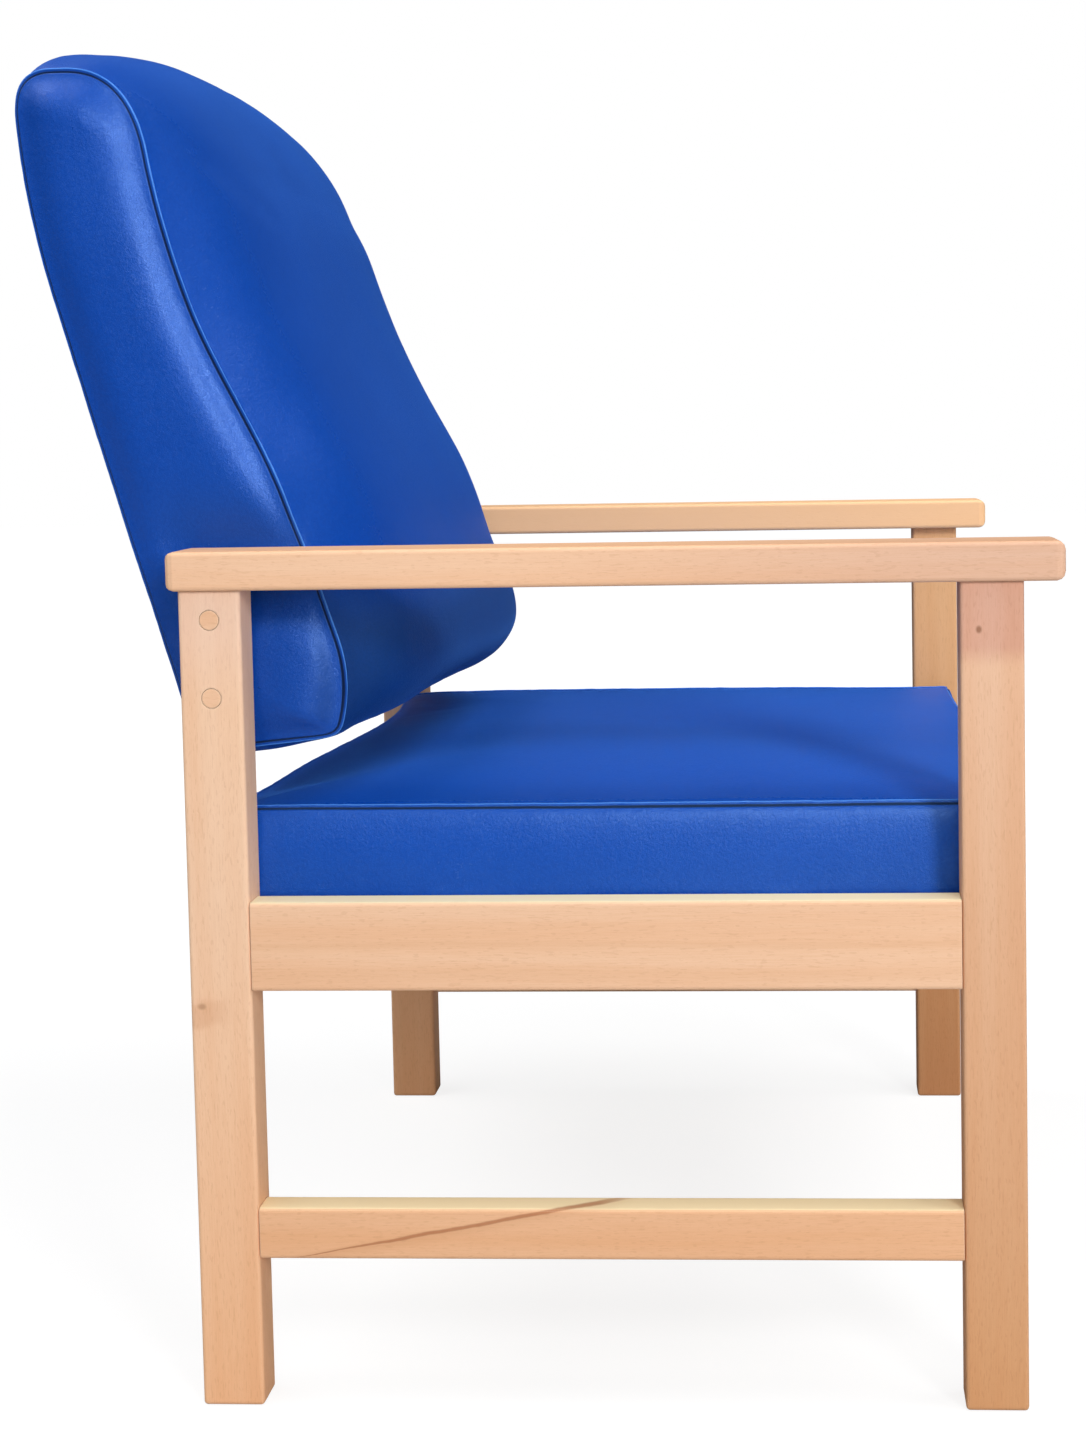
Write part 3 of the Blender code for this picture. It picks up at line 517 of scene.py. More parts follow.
def vinyl(name, seed, level, shine, sheen, tint, shaded_below=None):
    """Coated upholstery vinyl: fine pressed leather grain, faint creases and an uneven sheen.

    Below a height its front has painted shade, for the shade under the arms and seat; its seam
    grooves and grain valleys have painted shade and its rolled lips a painted highlight.
    """
    s = Shader(name)
    place = s.mapped(s.coordinates, move=(seed, seed * 0.7, seed * 1.9))
    cloud = s.noise(place, 9.0, 3.0, 0.55)
    stray = s.noise(place, 160.0, 1.0, output="Color")
    bent = s.vector("ADD", place, s.mapped(stray, scale=(0.0011, 0.0011, 0.0011)))
    grain = s.cells(bent, 470.0, "SMOOTH_F1")
    pores = s.ramp(s.cells(bent, 900.0, "DISTANCE_TO_EDGE"), 0.0, 0.16)
    crease = s.noise(place, 200.0, 2.0, 0.6, 1.6)
    dimple = s.noise(place, 38.0, 2.0, 0.5)
    height = s.math("ADD", s.math("MULTIPLY", grain, 0.55), s.math("MULTIPLY", pores, 0.25))
    height = s.math("ADD", height, s.math("MULTIPLY", crease, 0.85))
    normal = s.bump(dimple, 0.16, 0.0022)
    normal = s.bump(height, 0.70, 0.00030, normal)
    seam = s.add("ShaderNodeAttribute", attribute_name="seam").outputs["Fac"]
    dulled = 0.0
    deep, light = [tuple(c * level for c in colour) for colour in (VINYL_DEEP, VINYL_LIGHT)]
    colour = s.mix(cloud, deep, light)
    # painted shade on the front below a height
    if shaded_below:
        facing = s.add("ShaderNodeNewGeometry").outputs["Normal"]
        turned = s.math("MULTIPLY", s.separate(facing)[1], -1.0)
        low = s.ramp(s.separate(s.coordinates)[2], shaded_below, shaded_below - 0.07)
        low_front_shade = s.math("MULTIPLY", low, s.ramp(turned, 0.2, 0.8))
        colour = s.mix(low_front_shade, colour, (0.38, 0.52, 0.42), "MULTIPLY")
        dulled = s.math("MULTIPLY", low_front_shade, 0.25)
    # painted shade in the grain's valleys and creases
    painted_valley_shade = s.math("ADD", s.math("MULTIPLY", grain, 0.7), s.math("MULTIPLY", crease, 0.6))
    painted_valley_shade = s.math("MULTIPLY", s.ramp(painted_valley_shade, 0.35, 0.85), 0.20)
    colour = s.mix(painted_valley_shade, colour, (0.30, 0.42, 0.52), "MULTIPLY")
    # painted highlight on the rolled lip
    colour = s.mix(s.ramp(seam, -0.30, -0.85, 0.0, 0.80), colour, VINYL_PAINTED_BEAD_HIGHLIGHT)
    # painted shade in the seam's groove
    colour = s.mix(s.ramp(seam, 0.05, 0.50, 0.0, 0.97), colour, VINYL_PAINTED_GROOVE_SHADE)
    gloss = s.math("ADD", s.ramp(cloud, 0.25, 0.75, 0.22, 0.26), s.math("MULTIPLY", grain, 0.03))
    gloss = s.math("ADD", gloss, s.ramp(seam, 0.05, 0.50, 0.0, 0.45))
    slant = s.add("ShaderNodeLayerWeight").outputs["Facing"]
    gloss = s.math("ADD", s.math("ADD", gloss, s.ramp(slant, 0.50, 0.90, 0.0, 0.30)), dulled)
    return s.finish(Base_Color=colour, Roughness=gloss, Normal=normal, IOR=1.50,
                    Specular_IOR_Level=shine, Specular_Tint=(*tint, 1.0),
                    Sheen_Weight=sheen, Sheen_Roughness=0.35, Sheen_Tint=(0.07, 0.30, 1.0, 1.0))


# ---------------------------------------------------------------- the frame's finishes

def dress(node, material):
    mesh = NODES[node].data
    mesh.materials.clear()
    mesh.materials.append(material)


def dress_frame():
    grain_of = {"arm": "y", "leg": "z", "side_rail": "y", "stretcher": "y", "end": "x"}
    for index, side in enumerate(SIDES):
        near = side == "right"
        dress(f"arm_{side}", beech(f"beech_arm_{side}", grain_of["arm"], 3.1 + index, 0.10,
            arm_shade if near else far_arm_shade))
        dress(f"side_rail_{side}", beech(
            f"beech_side_rail_{side}", grain_of["side_rail"], 7.7 + index, 0.26, rail_bands_and_highlight))
        dress(f"stretcher_{side}", beech(
            f"beech_stretcher_{side}", grain_of["stretcher"], 12.2 + index, 0.30,
            stretcher_marks_and_highlight if near else None))
        dress(f"front_leg_{side}", beech(
            f"beech_front_leg_{side}", grain_of["leg"], 17.9 + index, 0.10,
            front_leg_marks_and_shade if near else far_leg_shade))
        # the far rear leg takes painted shade towards the floor
        dress(f"rear_leg_{side}", beech(
            f"beech_rear_leg_{side}", grain_of["leg"], 23.5 + index, -0.22,
            rear_leg_marks_and_shade if near else painted_floor_shade(1.0, 0.66, (0.98, 0.80, 0.62))))
    for index, end in enumerate(ENDS):
        dress(f"{end}_rail", beech(f"beech_{end}_rail", grain_of["end"], 31.4 + index))
    inner_y = beech("beech_inner_y", "y", 41.2, 0.1)
    inner_z = beech("beech_inner_z", "z", 43.8, 0.1)
    dowels = beech("beech_dowels", "z", 47.1, 0.1)
    plugs = beech("beech_plugs", "y", 51.3, 0.30)
    board, metal = plywood("plywood"), steel("zinc_steel")
    dress("centre_rail", inner_y)
    for name in NODES:
        if name.startswith("seat_cleat"):
            dress(name, inner_y)
        elif name.startswith(("corner_block", "back_stile")):
            dress(name, inner_z)
        elif name.startswith("arm_dowel"):
            dress(name, dowels)
        elif name.startswith("back_plug"):
            dress(name, plugs)
        elif name.endswith("_board"):
            dress(name, board)
        elif name.startswith(("block_screw", "seat_screw", "back_bolt", "back_insert")):
            dress(name, metal)


# ---------------------------------------------------------------- back cushion

def back_rear(height):
    bend = np.maximum(0.0, height - BACK_BEND_AT) / (BACK_HEIGHT - BACK_BEND_AT)
    return BACK_FOOT_Y + math.tan(BACK_LEAN) * height - BACK_BEND * bend ** 2


def back_front(height):
    taper = BACK_THICK_FOOT + (BACK_THICK_TOP - BACK_THICK_FOOT) * height / BACK_HEIGHT
    lumbar = BACK_LUMBAR * (1 - smoothstep(height, LUMBAR_LOW, LUMBAR_HIGH))
    tuck = BACK_TUCK * np.maximum(0.0, 1 - height / BACK_TUCK_REACH) ** 2
    return back_rear(height) - taper - lumbar + tuck


def fillet(before, corner, after, steps=24):
    t = np.linspace(0, 1, steps + 1)[:, None]
    return before * (1 - t) ** 2 + corner * 2 * t * (1 - t) + after * t ** 2


def back_outline():
    """The side outline as (y, z): up the rear, over the top, down the front, along the foot."""
    drop = BACK_BASE_SLOPE * (back_rear(0) - back_front(0)) / 2
    foot_rear = np.array([back_rear(0), BACK_BOTTOM - drop])
    foot_front = np.array([back_front(0), BACK_BOTTOM + drop])
    top_rear = np.array([back_rear(BACK_HEIGHT), BACK_BOTTOM + BACK_HEIGHT])
    top_front = np.array([back_front(BACK_HEIGHT), BACK_BOTTOM + BACK_HEIGHT])
    base = (foot_front - foot_rear) / np.linalg.norm(foot_front - foot_rear)

    def rear(height):
        return np.array([back_rear(height), BACK_BOTTOM + height])

    def front(height):
        return np.array([back_front(height), BACK_BOTTOM + height])

    up = np.linspace(ROUND_FOOT_REAR, BACK_HEIGHT - ROUND_TOP_REAR, 60)[1:-1]
    down = np.linspace(BACK_HEIGHT - ROUND_TOP_FRONT, ROUND_FOOT_FRONT, 60)[1:-1]
    return np.vstack([
        fillet(foot_rear + base * ROUND_FOOT_REAR, foot_rear, rear(ROUND_FOOT_REAR)),
        np.array([rear(h) for h in up]),
        fillet(rear(BACK_HEIGHT - ROUND_TOP_REAR), top_rear, top_rear - (ROUND_TOP_REAR * 0.9, 0)),
        fillet(top_front + (ROUND_TOP_FRONT * 0.7, 0), top_front,
               front(BACK_HEIGHT - ROUND_TOP_FRONT)),
        np.array([front(h) for h in down]),
        fillet(front(ROUND_FOOT_FRONT), foot_front, foot_front - base * ROUND_FOOT_FRONT),
    ])


def freedom(away, held):
    """How far each point may move: nothing at the seams and where a column is held."""
    return (1 - np.exp(-(away / CLOTH_FADE) ** 2))[:, None, None] * (1 - held)[None, :, None]


def cloth_swell(grid, away, held):
    """How far Blender's cloth moves each point of a grid of rings when the cover is inflated.

    A coarser copy of the grid is blown up from inside with its seams held; its movement, held
    under CLOTH_CAP, is then read at every point of the full grid. away is each ring's distance from
    its seam, held how firmly each column is kept where it rests on its board.
    """
    rings, count = grid.shape[:2]
    step = np.linalg.norm(np.diff(grid, axis=0), axis=2).mean(axis=1)
    travel = np.concatenate([[0], np.cumsum(step)])
    picked = [0]
    for index in range(1, rings):
        if travel[index] - travel[picked[-1]] > CLOTH_CELL or index == rings - 1:
            picked.append(index)
    coarse = grid[picked][:, ::CLOTH_COLUMNS]
    firm = (away[picked] < CLOTH_GRIP)[:, None] | (held[None, ::CLOTH_COLUMNS] > 0.5)
    piece = grid_object("cloth_run", coarse, None)
    group = piece.vertex_groups.new(name="held")
    group.add(np.flatnonzero(firm).tolist(), 1.0, "REPLACE")
    cloth = piece.modifiers.new("cloth", "CLOTH")
    settings = cloth.settings
    settings.quality = 6
    settings.mass = 0.30
    settings.tension_stiffness = settings.compression_stiffness = 25
    settings.shear_stiffness = 12
    settings.bending_stiffness = 0.5
    settings.use_pressure = True
    settings.uniform_pressure_force = 4
    settings.vertex_group_mass = "held"
    settings.effector_weights.gravity = 0
    scene = bpy.context.scene
    for number in range(1, CLOTH_FRAMES + 1):
        scene.frame_set(number)
    result = piece.evaluated_get(bpy.context.evaluated_depsgraph_get())
    mesh = result.to_mesh()
    points = np.empty(len(mesh.vertices) * 3)
    mesh.vertices.foreach_get("co", points)
    result.to_mesh_clear()
    scene.frame_set(1)
    data = piece.data
    bpy.data.objects.remove(piece)
    bpy.data.meshes.remove(data)
    moved = points.reshape(coarse.shape) - coarse
    length = np.linalg.norm(moved, axis=2, keepdims=True)
    moved *= min(1.0, CLOTH_CAP / length.max())
    columns = np.arange(count) / CLOTH_COLUMNS
    base = np.floor(columns).astype(int)
    part = (columns - base)[None, :, None]
    around = moved.shape[1]
    wide = moved[:, base % around] * (1 - part) + moved[:, (base + 1) % around] * part
    full = np.empty_like(grid)
    for axis in range(3):
        for column in range(count):
            full[:, column, axis] = np.interp(travel, travel[picked], wide[:, column, axis])
    return full * freedom(away, held)


def smooth_ring(values, width):
    """A closed list averaged with a bell of a given width in points."""
    reach = int(width * 3)
    offsets = np.arange(-reach, reach + 1)
    weights = np.exp(-(offsets / width) ** 2 / 2)
    weights /= weights.sum()
    return sum(np.roll(values, -o, axis=0) * w for o, w in zip(offsets, weights))


def seam_marks(cover, marks, count):
    """Keeps how deep in a seam each ring lies, from 1 in the stitching to -1 on the rolled lip."""
    layer = cover.data.attributes.new("seam", "FLOAT", "POINT")
    layer.data.foreach_set("value", np.repeat(marks, count).astype(np.float32))


def seam_value(distance, lip_side):
    inside = np.exp(-(distance / (GROOVE_WIDTH * 1.25)) ** 2)
    lip = np.exp(-((distance - LIP_AT) / LIP_WIDTH) ** 2) if lip_side else 0.0
    return inside - lip * (1 - inside)


def seam_detail(distance, lip_side):
    """Height across a seam: a narrow groove, and on the wrap's side a rolled lip beside it."""
    groove = -GROOVE_DEPTH * np.exp(-(distance / GROOVE_WIDTH) ** 2)
    lip = LIP_HEIGHT * np.exp(-((distance - LIP_AT) / LIP_WIDTH) ** 2) if lip_side else 0.0
    return groove + lip


def pucker(distance, along, seed, strength):
    """Small gathers that run away from a seam and die out."""
    ripple = wave(along, seed, 95.0) + 0.6 * wave(along, seed + 5, 190.0)
    slow = 0.6 + 0.8 * np.maximum(0, wave(along, seed + 9, 11.0))
    fade = np.exp(-distance / 0.008) * (1 - np.exp(-distance / 0.0025))
    return strength * fade[:, None] * (ripple * slow)[None, :]


def across_cover(panel, half, far_half=None, far_panel=None):
    """Rows from the middle of one side panel, over the wrap, to the middle of the other."""
    far_half = half if far_half is None else far_half
    far_panel = panel if far_panel is None else far_panel
    return np.concatenate([panel[::-1], half[1:], far_half[::-1][1:], far_panel[1:]])


def build_back(material):
    outline, along = resample(back_outline(), BACK_POINTS)
    outline = smooth_ring(outline, 1.2)
    tangent = np.roll(outline, -1, axis=0) - np.roll(outline, 1, axis=0)
    normal = np.stack([tangent[:, 1], -tangent[:, 0]], axis=1)
    normal /= np.linalg.norm(normal, axis=1, keepdims=True)
    normal = smooth_ring(normal, 2.0)
    normal /= np.linalg.norm(normal, axis=1, keepdims=True)
    height = outline[:, 1] - BACK_BOTTOM
    facing = smoothstep(-normal[:, 0], -0.25, 0.25)
    rising = smoothstep(normal[:, 1], -0.25, 0.25)
    crown = smooth_ring(np.interp(height, *zip(*FRONT_CROWN)), 6.0)
    front = CROWN_REAR + (crown - CROWN_REAR) * facing
    top = CROWN_FOOT + (CROWN_TOP - CROWN_FOOT) * rising
    power = np.where(normal[:, 1] < 0, CHIN_POWER, 2.0)
    front = front * np.abs(normal[:, 0]) ** power
    top = top * np.abs(normal[:, 1]) ** power
    chin = back_front(0.0)
    chin_share = 4 * (normal[:, 0] * normal[:, 1]) ** 2
    chin_share = np.where((normal[:, 1] < 0) & (normal[:, 0] < 0), chin_share, 0.0)
    lessened = top * (0.55 + 0.45 * smoothstep(outline[:, 0], chin, chin + 0.06))
    top = np.where(normal[:, 1] < 0, lessened, top)
    seam_x = BACK_WIDTH - BACK_PULL

    def swell(across):
        across = np.clip(across, 0, 1)
        front_part = 1 - across ** 6.5
        edge = math.sqrt(0.02)
        top_part = (np.sqrt(1.02 - across ** 2) - edge) / (math.sqrt(1.02) - edge)
        quick_part = 1 - across ** 24
        foot_part = quick_part * (0.1 + 0.9 * across ** 2)
        top_part = top_part * rising + foot_part * (1 - rising)
        chin_part = quick_part * (0.2 + 0.8 * across ** 2)
        return front * front_part + top * top_part + CHIN_CROWN * chin_share * chin_part

    # Stations across the wrap: the same distance from the seam for every outline point
    fine = 1 - np.linspace(0, 1, 1500) ** 3
    profile = np.stack([swell(a) for a in fine])
    steps = np.hypot(seam_x * np.abs(np.diff(fine))[:, None], np.diff(profile, axis=0))
    travelled = np.vstack([np.zeros(len(outline)), np.cumsum(steps, axis=0)])
    half_length = travelled[-1]
    near = SEAM_STEPS
    rest = np.linspace(0, 1, 34)[1:] ** 1.25
    rows = []
    for distance in near:
        rows.append([np.interp(distance, travelled[:, i], fine) for i in range(len(outline))])
    for share in rest:
        goal = near[-1] + (half_length - near[-1]) * share
        rows.append([np.interp(goal[i], travelled[:, i], fine) for i in range(len(outline))])
    across = np.array(rows)
    distances = np.concatenate([near, near[-1] + (half_length.mean() - near[-1]) * rest])
    lift = np.stack([swell(row) for row in across])
    half = np.empty((len(across), len(outline), 3))
    half[:, :, 0] = -seam_x * across
    half[:, :, 1] = outline[None, :, 0] + normal[None, :, 0] * lift
    half[:, :, 2] = outline[None, :, 1] + normal[None, :, 1] * lift

    # Side panel, from its middle out to the seam
    margin = BACK_THICK_TOP / 2
    spine_height = np.clip(height, margin, BACK_HEIGHT - margin)
    spine = np.stack([(back_rear(spine_height) + back_front(spine_height)) / 2,
                      BACK_BOTTOM + spine_height], axis=1)
    inward = spine - outline
    reach = np.linalg.norm(inward, axis=1, keepdims=True)
    inward = smooth_ring(inward / reach, 3.0)
    inward /= np.linalg.norm(inward, axis=1, keepdims=True)
    panel_steps = np.concatenate([SEAM_STEPS, BACK_PANEL_STEPS])
    panel = np.empty((len(panel_steps), len(outline), 3))
    for k, distance in enumerate(panel_steps):
        moved = outline + inward * np.minimum(distance, 0.8 * reach)
        panel[k, :, 0] = -(BACK_WIDTH - BACK_PULL * math.exp(-(distance / BACK_PULL_REACH) ** 2))
        panel[k, :, 1:] = moved
    middle = []
    for share in PANEL_SHARES:
        ring = panel[-1].copy()
        depth = panel_steps[-1] + np.maximum(0.0, reach[:, 0] - panel_steps[-1]) * share
        ring[:, 0] = -(BACK_WIDTH - BACK_PULL * np.exp(-(depth / BACK_PULL_REACH) ** 2))
        ring[:, 1:] = panel[-1, :, 1:] * (1 - share) + spine * share
        middle.append(ring)
    panel = np.concatenate([panel, middle])
    further = 0.008 * np.arange(1, len(middle) + 1)
    panel_steps = np.concatenate([panel_steps, panel_steps[-1] + further])
    mirror = (-1, 1, 1)
    grid = across_cover(panel, half, half * mirror, panel * mirror)
    low = FOOT_SWAY * np.exp(-(height / FOOT_SWAY_REACH) ** 2) * facing
    sway = np.sin(math.pi * np.clip(grid[:, :, :1] / seam_x, -1, 1))
    grid[:, :, 1:] += (normal * low[:, None])[None] * sway
    inner = np.count_nonzero(panel_steps > 0.02)

    def calm_normals():
        result = grid_normals(grid)
        result[:inner], result[-inner:] = (-1, 0, 0), (1, 0, 0)
        return result

    normals = calm_normals()
    away = across_cover(panel_steps, distances)
    held = 1 - smoothstep(facing, 0.05, 0.6) * smoothstep(height, 0.02, 0.08)
    bonded = len(panel_steps)               # the side panels are glued to the foam
    away[:bonded] = away[-bonded:] = 0.0
    swollen = grid - normals * CLOTH_START * freedom(away, held)
    grid = swollen + cloth_swell(swollen, away, held)
    normals = calm_normals()
    detail = across_cover(seam_detail(panel_steps, False), seam_detail(distances, True))
    gather = across_cover(
        pucker(panel_steps, along, 1, 0.0007), pucker(distances, along, 2, 0.0006),
        pucker(distances, along, 3, 0.0006), pucker(panel_steps, along, 4, 0.0007))
    grid = grid + normals * (detail[:, None] + gather)[:, :, None]
    grid = soft_waves(grid, calm_normals(), WAVES, 21)
    grid = press_arms(grid)
    grid[:, :, 1] += MIDDLE_Y
    cover = grid_object("back_cushion_cover", grid, material, height)
    marks = across_cover(seam_value(panel_steps, False), seam_value(distances, True))
    seam_marks(cover, marks, len(outline))
    return cover


def soft_waves(grid, normals, strength, seed):
    """The slight unevenness of foam under a stretched cover."""
    flat = grid.reshape(-1, 3)
    lift = np.array([
        noise.noise(Vector((p[0] * 7 + seed, p[1] * 7, p[2] * 7)))
        + 0.45 * noise.noise(Vector((p[0] * 19, p[1] * 19 + seed, p[2] * 19)))
        for p in flat]).reshape(grid.shape[:2])
    return grid + normals * (lift * strength)[:, :, None]


def press_arms(grid):
    """Dents the back's sides where the arms squeeze past them."""
    y, z = grid[:, :, 1], grid[:, :, 2]
    low_y, high_y = ARM_LOW.y - MIDDLE_Y, ARM_HIGH.y - MIDDLE_Y
    out_y = np.maximum(0, np.maximum(low_y - y, y - high_y))
    out_z = np.maximum(0, np.maximum(ARM_LOW.z - z, z - ARM_HIGH.z))
    away = np.hypot(out_y, out_z)
    limit = ARM_LOW.x - 0.0002 + 0.020 * (1 - np.exp(-(away / 0.050) ** 1.5))
    x = np.abs(grid[:, :, 0])
    soft = 0.0040
    squeezed = -soft * np.logaddexp(-x / soft, -limit / soft)
    squeezed = np.where(x > 0.25, np.minimum(squeezed, limit), x)
    grid = grid.copy()
    grid[:, :, 0] = np.sign(grid[:, :, 0]) * squeezed
    return grid


# ---------------------------------------------------------------- seat cushion

def seat_plan(count):
    """The seat's plan outline as (x, y), with round corners and gently swelling sides."""
    middle = (SEAT_REAR - SEAT_FRONT) / 2
    half_length = (SEAT_REAR + SEAT_FRONT) / 2
    points = []
    corners = [
        np.array([sx * (SEAT_HALF - SEAT_CORNER), middle + sy * (half_length - SEAT_CORNER)])
        for sx, sy in ((1, 1), (-1, 1), (-1, -1), (1, -1))]
    for index, centre in enumerate(corners):
        start = index * math.pi / 2
        for angle in np.linspace(start, start + math.pi / 2, 12):
            points.append(centre + SEAT_CORNER * np.array([math.cos(angle), math.sin(angle)]))
        turn = start + math.pi / 2
        out = np.array([math.cos(turn), math.sin(turn)])
        following = corners[(index + 1) % 4]
        begin, finish = centre + out * SEAT_CORNER, following + out * SEAT_CORNER
        for share in np.linspace(0, 1, 60)[1:-1]:
            swell = out * SEAT_BULGE * math.sin(math.pi * share) ** 2
            points.append(begin + (finish - begin) * share + swell)
    return resample(np.array(points), count) + (np.array([0.0, middle]),)


def build_seat(material):
    plan, along, centre = seat_plan(SEAT_POINTS)
    tangent = np.roll(plan, -1, axis=0) - np.roll(plan, 1, axis=0)
    outward = np.stack([tangent[:, 1], -tangent[:, 0]], axis=1)
    outward /= np.linalg.norm(outward, axis=1, keepdims=True)
    outward = smooth_ring(outward, 1.5)
    rows, details = [], []

    sag = smooth_ring(np.interp(plan[:, 0], *zip(*SEAT_REAR_SAG)), 6)
    sag *= smooth_ring(np.maximum(0, outward[:, 1]), 8) ** 2
    plan[:, 1] -= SEAT_SKEW * plan[:, 0] / SEAT_HALF * smoothstep(plan[:, 1], 0.12, 0.30)

    def row(inset, z, distance, lip):
        moved = plan - outward * inset
        low = sag * smoothstep(z, SEAT_BASE + 0.010, SEAT_SEAM)
        rows.append(np.column_stack([moved, z - low]))
        details.append(seam_detail(np.array([distance]), lip)[0])

    border = SEAT_SEAM - SEAT_BASE
    board_margin = 0.0037
    row(board_margin, SEAT_BASE + 0.0155, 1.0, False)
    row(board_margin, SEAT_BASE + 0.0005, 1.0, False)
    row(board_margin * 0.7, SEAT_BASE, 1.0, False)
    for angle in np.linspace(0, math.pi / 2, 5):
        radius = 0.0025
        row(radius * (1 - math.sin(angle)), SEAT_BASE + radius * (1 - math.cos(angle)), 1.0, False)
    under = len(rows)
    down = np.concatenate([SEAM_STEPS, SEAT_SIDE_STEPS])[::-1]
    for distance in down:
        belly = 0.0012 * math.sin(math.pi * min(1.0, distance / border))
        inset = SEAT_PULL * math.exp(-distance / SEAT_PULL_REACH) - belly
        row(inset, SEAT_SEAM - distance, distance, False)
    steps = np.concatenate([SEAM_STEPS[1:], SEAT_TOP_STEPS])
    rim = plan - outward * SEAT_PULL
    to_middle = centre - rim
    half_span = min(SEAT_HALF, (SEAT_FRONT + SEAT_REAR) / 2)

    facing = smooth_ring(outward, 14)
    shoulder = (np.maximum(0, facing[:, 0]) ** 2 * SEAT_SHOULDERS["left"]
                + np.maximum(0, -facing[:, 0]) ** 2 * SEAT_SHOULDERS["right"]
                + np.maximum(0, facing[:, 1]) ** 2 * SEAT_SHOULDERS["rear"]
                + np.maximum(0, -facing[:, 1]) ** 2 * SEAT_SHOULDERS["front"])

    def dome(away):
        quick = shoulder * (1 - np.exp(-(away / SEAT_SHOULDER_REACH) ** SEAT_SHOULDER_POWER))
        rest = np.clip(1 - away / half_span, 0, 1)
        slow = (SEAT_CROWN - shoulder) * (1 - rest ** SEAT_CROWN_POWER)
        return quick + slow - sag * (1 - smoothstep(away, 0.0, SEAT_SAG_REACH))

    for distance in steps:
        share = distance / half_span
        moved = rim + to_middle * share
        rows.append(np.column_stack([moved, SEAT_SEAM + dome(distance)]))
        details.append(seam_detail(np.array([distance]), True)[0])
    shares = np.append(np.linspace(steps[-1] / half_span, 1, 16)[1:-1], 0.975)
    for share in shares:
        moved = rim + to_middle * share
        rows.append(np.column_stack([moved, SEAT_SEAM + dome(share * half_span)]))
        details.append(0.0)
    grid = np.array(rows)
    normals = grid_normals(grid)
    away = np.concatenate([
        np.full(under, 0.0), down * (1 - down / border), steps, shares * half_span])
    held = np.zeros(len(plan))
    swollen = grid - normals * CLOTH_START * freedom(away, held)
    grid = swollen + cloth_swell(swollen, away, held)
    normals = grid_normals(grid)
    away = np.concatenate([np.full(under, 1.0), down, steps, shares * half_span])
    gather = pucker(away, along, 31, 0.0009)
    grid = grid + normals * (np.array(details)[:, None] + gather)[:, :, None]
    grid[under:] = soft_waves(grid, normals, WAVES, 47)[under:]
    legs = np.abs(grid[:, :, 1]) > LEG_INSIDE_Y - 0.001
    squeezed = np.sign(grid[:, :, 0]) * np.minimum(np.abs(grid[:, :, 0]), LEG_INNER - 0.0003)
    grid[:, :, 0] = np.where(legs, squeezed, grid[:, :, 0])
    grid[:, :, 1] += MIDDLE_Y
    cover = grid_object("seat_cushion_cover", grid, material)
    marks = np.concatenate([
        np.zeros(under), seam_value(down, False), seam_value(steps, True), np.zeros(len(shares))])
    seam_marks(cover, marks, len(plan))
    return cover


# ---------------------------------------------------------------- studio

AMBIENT_COLOUR = (0.66, 0.83, 1.0)
AMBIENT = 0.05                # even light from all round
REFLECTED_BACKDROP = 0.02     # how much of the white backdrop shows in the gloss of the covers


def build_world():
    world = bpy.data.worlds.new("studio")
    bpy.context.scene.world = world
    world.use_nodes = True
    tree = world.node_tree
    tree.nodes.clear()

    def add(kind, *sources, **settings):
        node = tree.nodes.new(kind)
        for key, value in settings.items():
            setattr(node, key, value)
        for socket, source in zip(node.inputs, sources):
            if isinstance(source, bpy.types.NodeSocket):
                tree.links.new(source, socket)
            else:
                socket.default_value = source
        return node.outputs

    path = add("ShaderNodeLightPath")
    seen = add("ShaderNodeBackground", (1, 1, 1, 1), 1.0)
    light = add("ShaderNodeBackground", (*AMBIENT_COLOUR, 1), AMBIENT)
    gloss = add("ShaderNodeMath", path["Is Glossy Ray"], REFLECTED_BACKDROP, operation="MULTIPLY")
    view = add("ShaderNodeMath", path["Is Camera Ray"], path["Is Transmission Ray"],
               operation="ADD")
    share = add("ShaderNodeMath", view[0], gloss[0], operation="ADD", use_clamp=True)
    add("ShaderNodeOutputWorld", add("ShaderNodeMixShader", share[0], light[0], seen[0])[0])


def build_floor():
    mesh = bpy.data.meshes.new("studio_floor")
    size = 14.0
    corners = [(-size, -size, 0), (size, -size, 0), (size, size, 0), (-size, size, 0)]
    mesh.from_pydata(corners, [], [(0, 1, 2, 3)])
    floor = bpy.data.objects.new("studio_floor", mesh)
    bpy.context.scene.collection.objects.link(floor)
    floor.location.z = -0.0004
    s = Shader("studio_floor")
    tree = s.tree
    path = s.add("ShaderNodeLightPath").outputs
    seen = s.math("ADD", path["Is Camera Ray"], path["Is Transmission Ray"], clamp=True)
    x, y = s.separate(s.coordinates)[:2]
    away = s.math("SQRT", s.math("ADD", s.math("MULTIPLY", x, x), s.math("MULTIPLY", y, y)))
    paint = s.mix(seen, (0.50, 0.50, 0.50), (0.22, 0.22, 0.22))
    s.finish(Base_Color=paint, Roughness=0.9, Specular_IOR_Level=0.0)
    glow = s.add("ShaderNodeEmission")
    s.put(glow.inputs["Strength"], s.math("MULTIPLY", seen, s.ramp(away, 0.5, 3.0, 0.84, 1.0)))
    total = s.add("ShaderNodeAddShader")
    tree.links.new(s.surface.outputs[0], total.inputs[0])
    tree.links.new(glow.outputs[0], total.inputs[1])
    tree.links.new(total.outputs[0], tree.nodes["Material Output"].inputs["Surface"])
    mesh.materials.append(s.material)


PHOTO_WIDTH, PHOTO_HEIGHT = 1086, 1448
CAMERA_PLACE = (-2.0083, -0.1642, 0.7635)      # from the frame's middle
CAMERA_YAW, CAMERA_PITCH, CAMERA_ROLL = 0.05322, 0.06819, -0.01664
CAMERA_FOCAL = 2153.7                          # pixels
CAMERA_CENTRE = (700.0, 562.9)                 # where the lens axis meets the picture, pixels


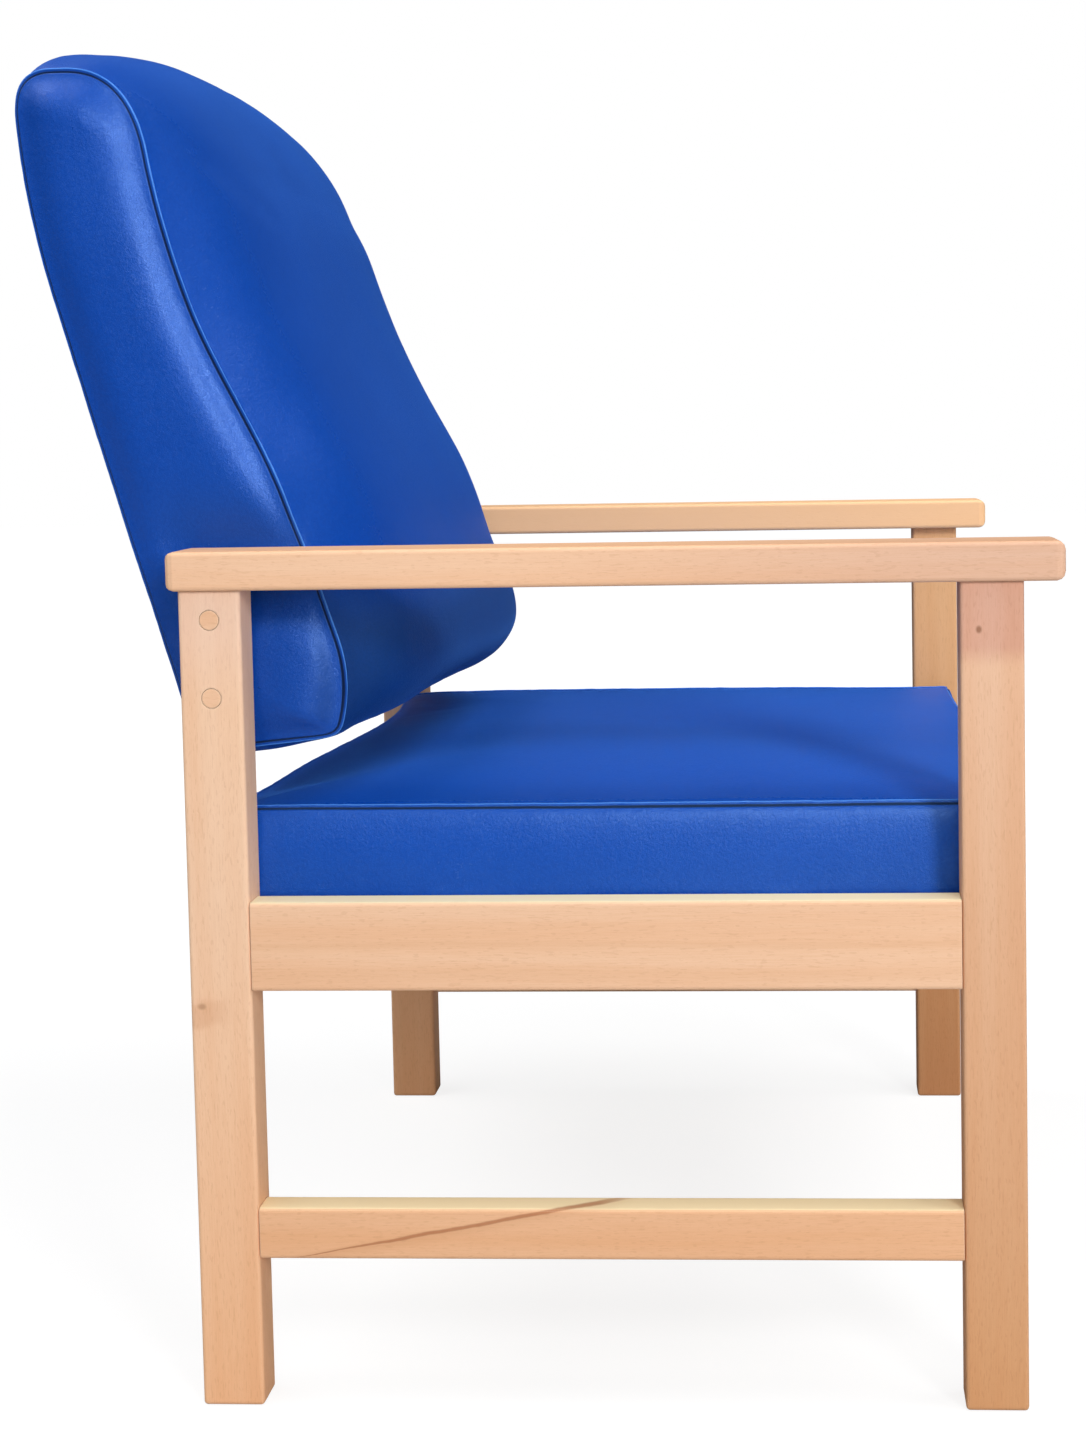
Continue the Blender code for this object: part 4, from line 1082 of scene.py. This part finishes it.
def build_camera():
    sin, cos = math.sin, math.cos
    look = Vector((cos(CAMERA_YAW), sin(CAMERA_YAW), 0))
    right = Vector((sin(CAMERA_YAW), -cos(CAMERA_YAW), 0))
    up = Vector((0, 0, 1))
    forward = look * cos(CAMERA_PITCH) - up * sin(CAMERA_PITCH)
    tilted = look * sin(CAMERA_PITCH) + up * cos(CAMERA_PITCH)
    rolled = right * cos(CAMERA_ROLL) + tilted * sin(CAMERA_ROLL)
    upward = tilted * cos(CAMERA_ROLL) - right * sin(CAMERA_ROLL)
    data = bpy.data.cameras.new("camera")
    camera = bpy.data.objects.new("camera", data)
    bpy.context.scene.collection.objects.link(camera)
    turn = Matrix((rolled, upward, -forward)).transposed()
    place = Vector(CAMERA_PLACE) + Vector((0, MIDDLE_Y, 0))
    camera.matrix_world = Matrix.Translation(place) @ turn.to_4x4()
    data.sensor_width = 36.0
    data.lens = CAMERA_FOCAL * data.sensor_width / PHOTO_HEIGHT
    data.shift_x = (PHOTO_WIDTH / 2 - CAMERA_CENTRE[0]) / PHOTO_HEIGHT
    data.shift_y = (CAMERA_CENTRE[1] - PHOTO_HEIGHT / 2) / PHOTO_HEIGHT
    data.clip_start, data.clip_end = 0.05, 60
    bpy.context.scene.camera = camera


def softbox(name, azimuth, elevation, distance, width, height, power):
    """A soft light that faces the chair. Azimuth 0 is the camera's side and rises to the rear."""
    chest = Vector((-0.3, MIDDLE_Y, 0.6))
    flat = math.cos(math.radians(elevation))
    out = Vector((-flat * math.cos(math.radians(azimuth)), flat * math.sin(math.radians(azimuth)),
                  math.sin(math.radians(elevation))))
    data = bpy.data.lights.new(name, "AREA")
    data.shape = "RECTANGLE"
    data.size, data.size_y = width, height
    data.energy = power
    lamp = bpy.data.objects.new(name, data)
    bpy.context.scene.collection.objects.link(lamp)
    lamp.location = chest + out * distance
    lamp.rotation_euler = (-out).to_track_quat("-Z", "Y").to_euler()


def build_lights():
    softbox("key_softbox", -31, 18, 4.5, 0.95, 2.4, 93)
    softbox("over_camera_softbox", -11, 31, 4.2, 2.9, 0.9, 57)
    softbox("rear_fill", 52, 42, 4.2, 3.6, 3.2, 42)
    softbox("front_top_softbox", -82, 60, 4.3, 2.2, 2.2, 104)
    softbox("rear_top_softbox", 98, 62, 4.3, 2.2, 2.2, 70)


# ---------------------------------------------------------------- assembly

def main():
    dress_frame()
    # the back's front has painted shade below 0.66 m
    cover = vinyl("vinyl_back", 0.0, 1.06, 0.90, 0.35, (0.28, 0.50, 1.0), 0.66)
    back = build_back(cover)
    seat = build_seat(vinyl("vinyl_seat", 4.0, 1.24, 0.86, 0.48, (0.36, 0.64, 1.0)))
    for piece, node in ((back, "back_cushion"), (seat, "seat_cushion")):
        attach(piece, "root")
        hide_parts(node)
    build_world()
    build_floor()
    build_camera()
    build_lights()
    bpy.context.scene.view_settings.view_transform = "Standard"


main()
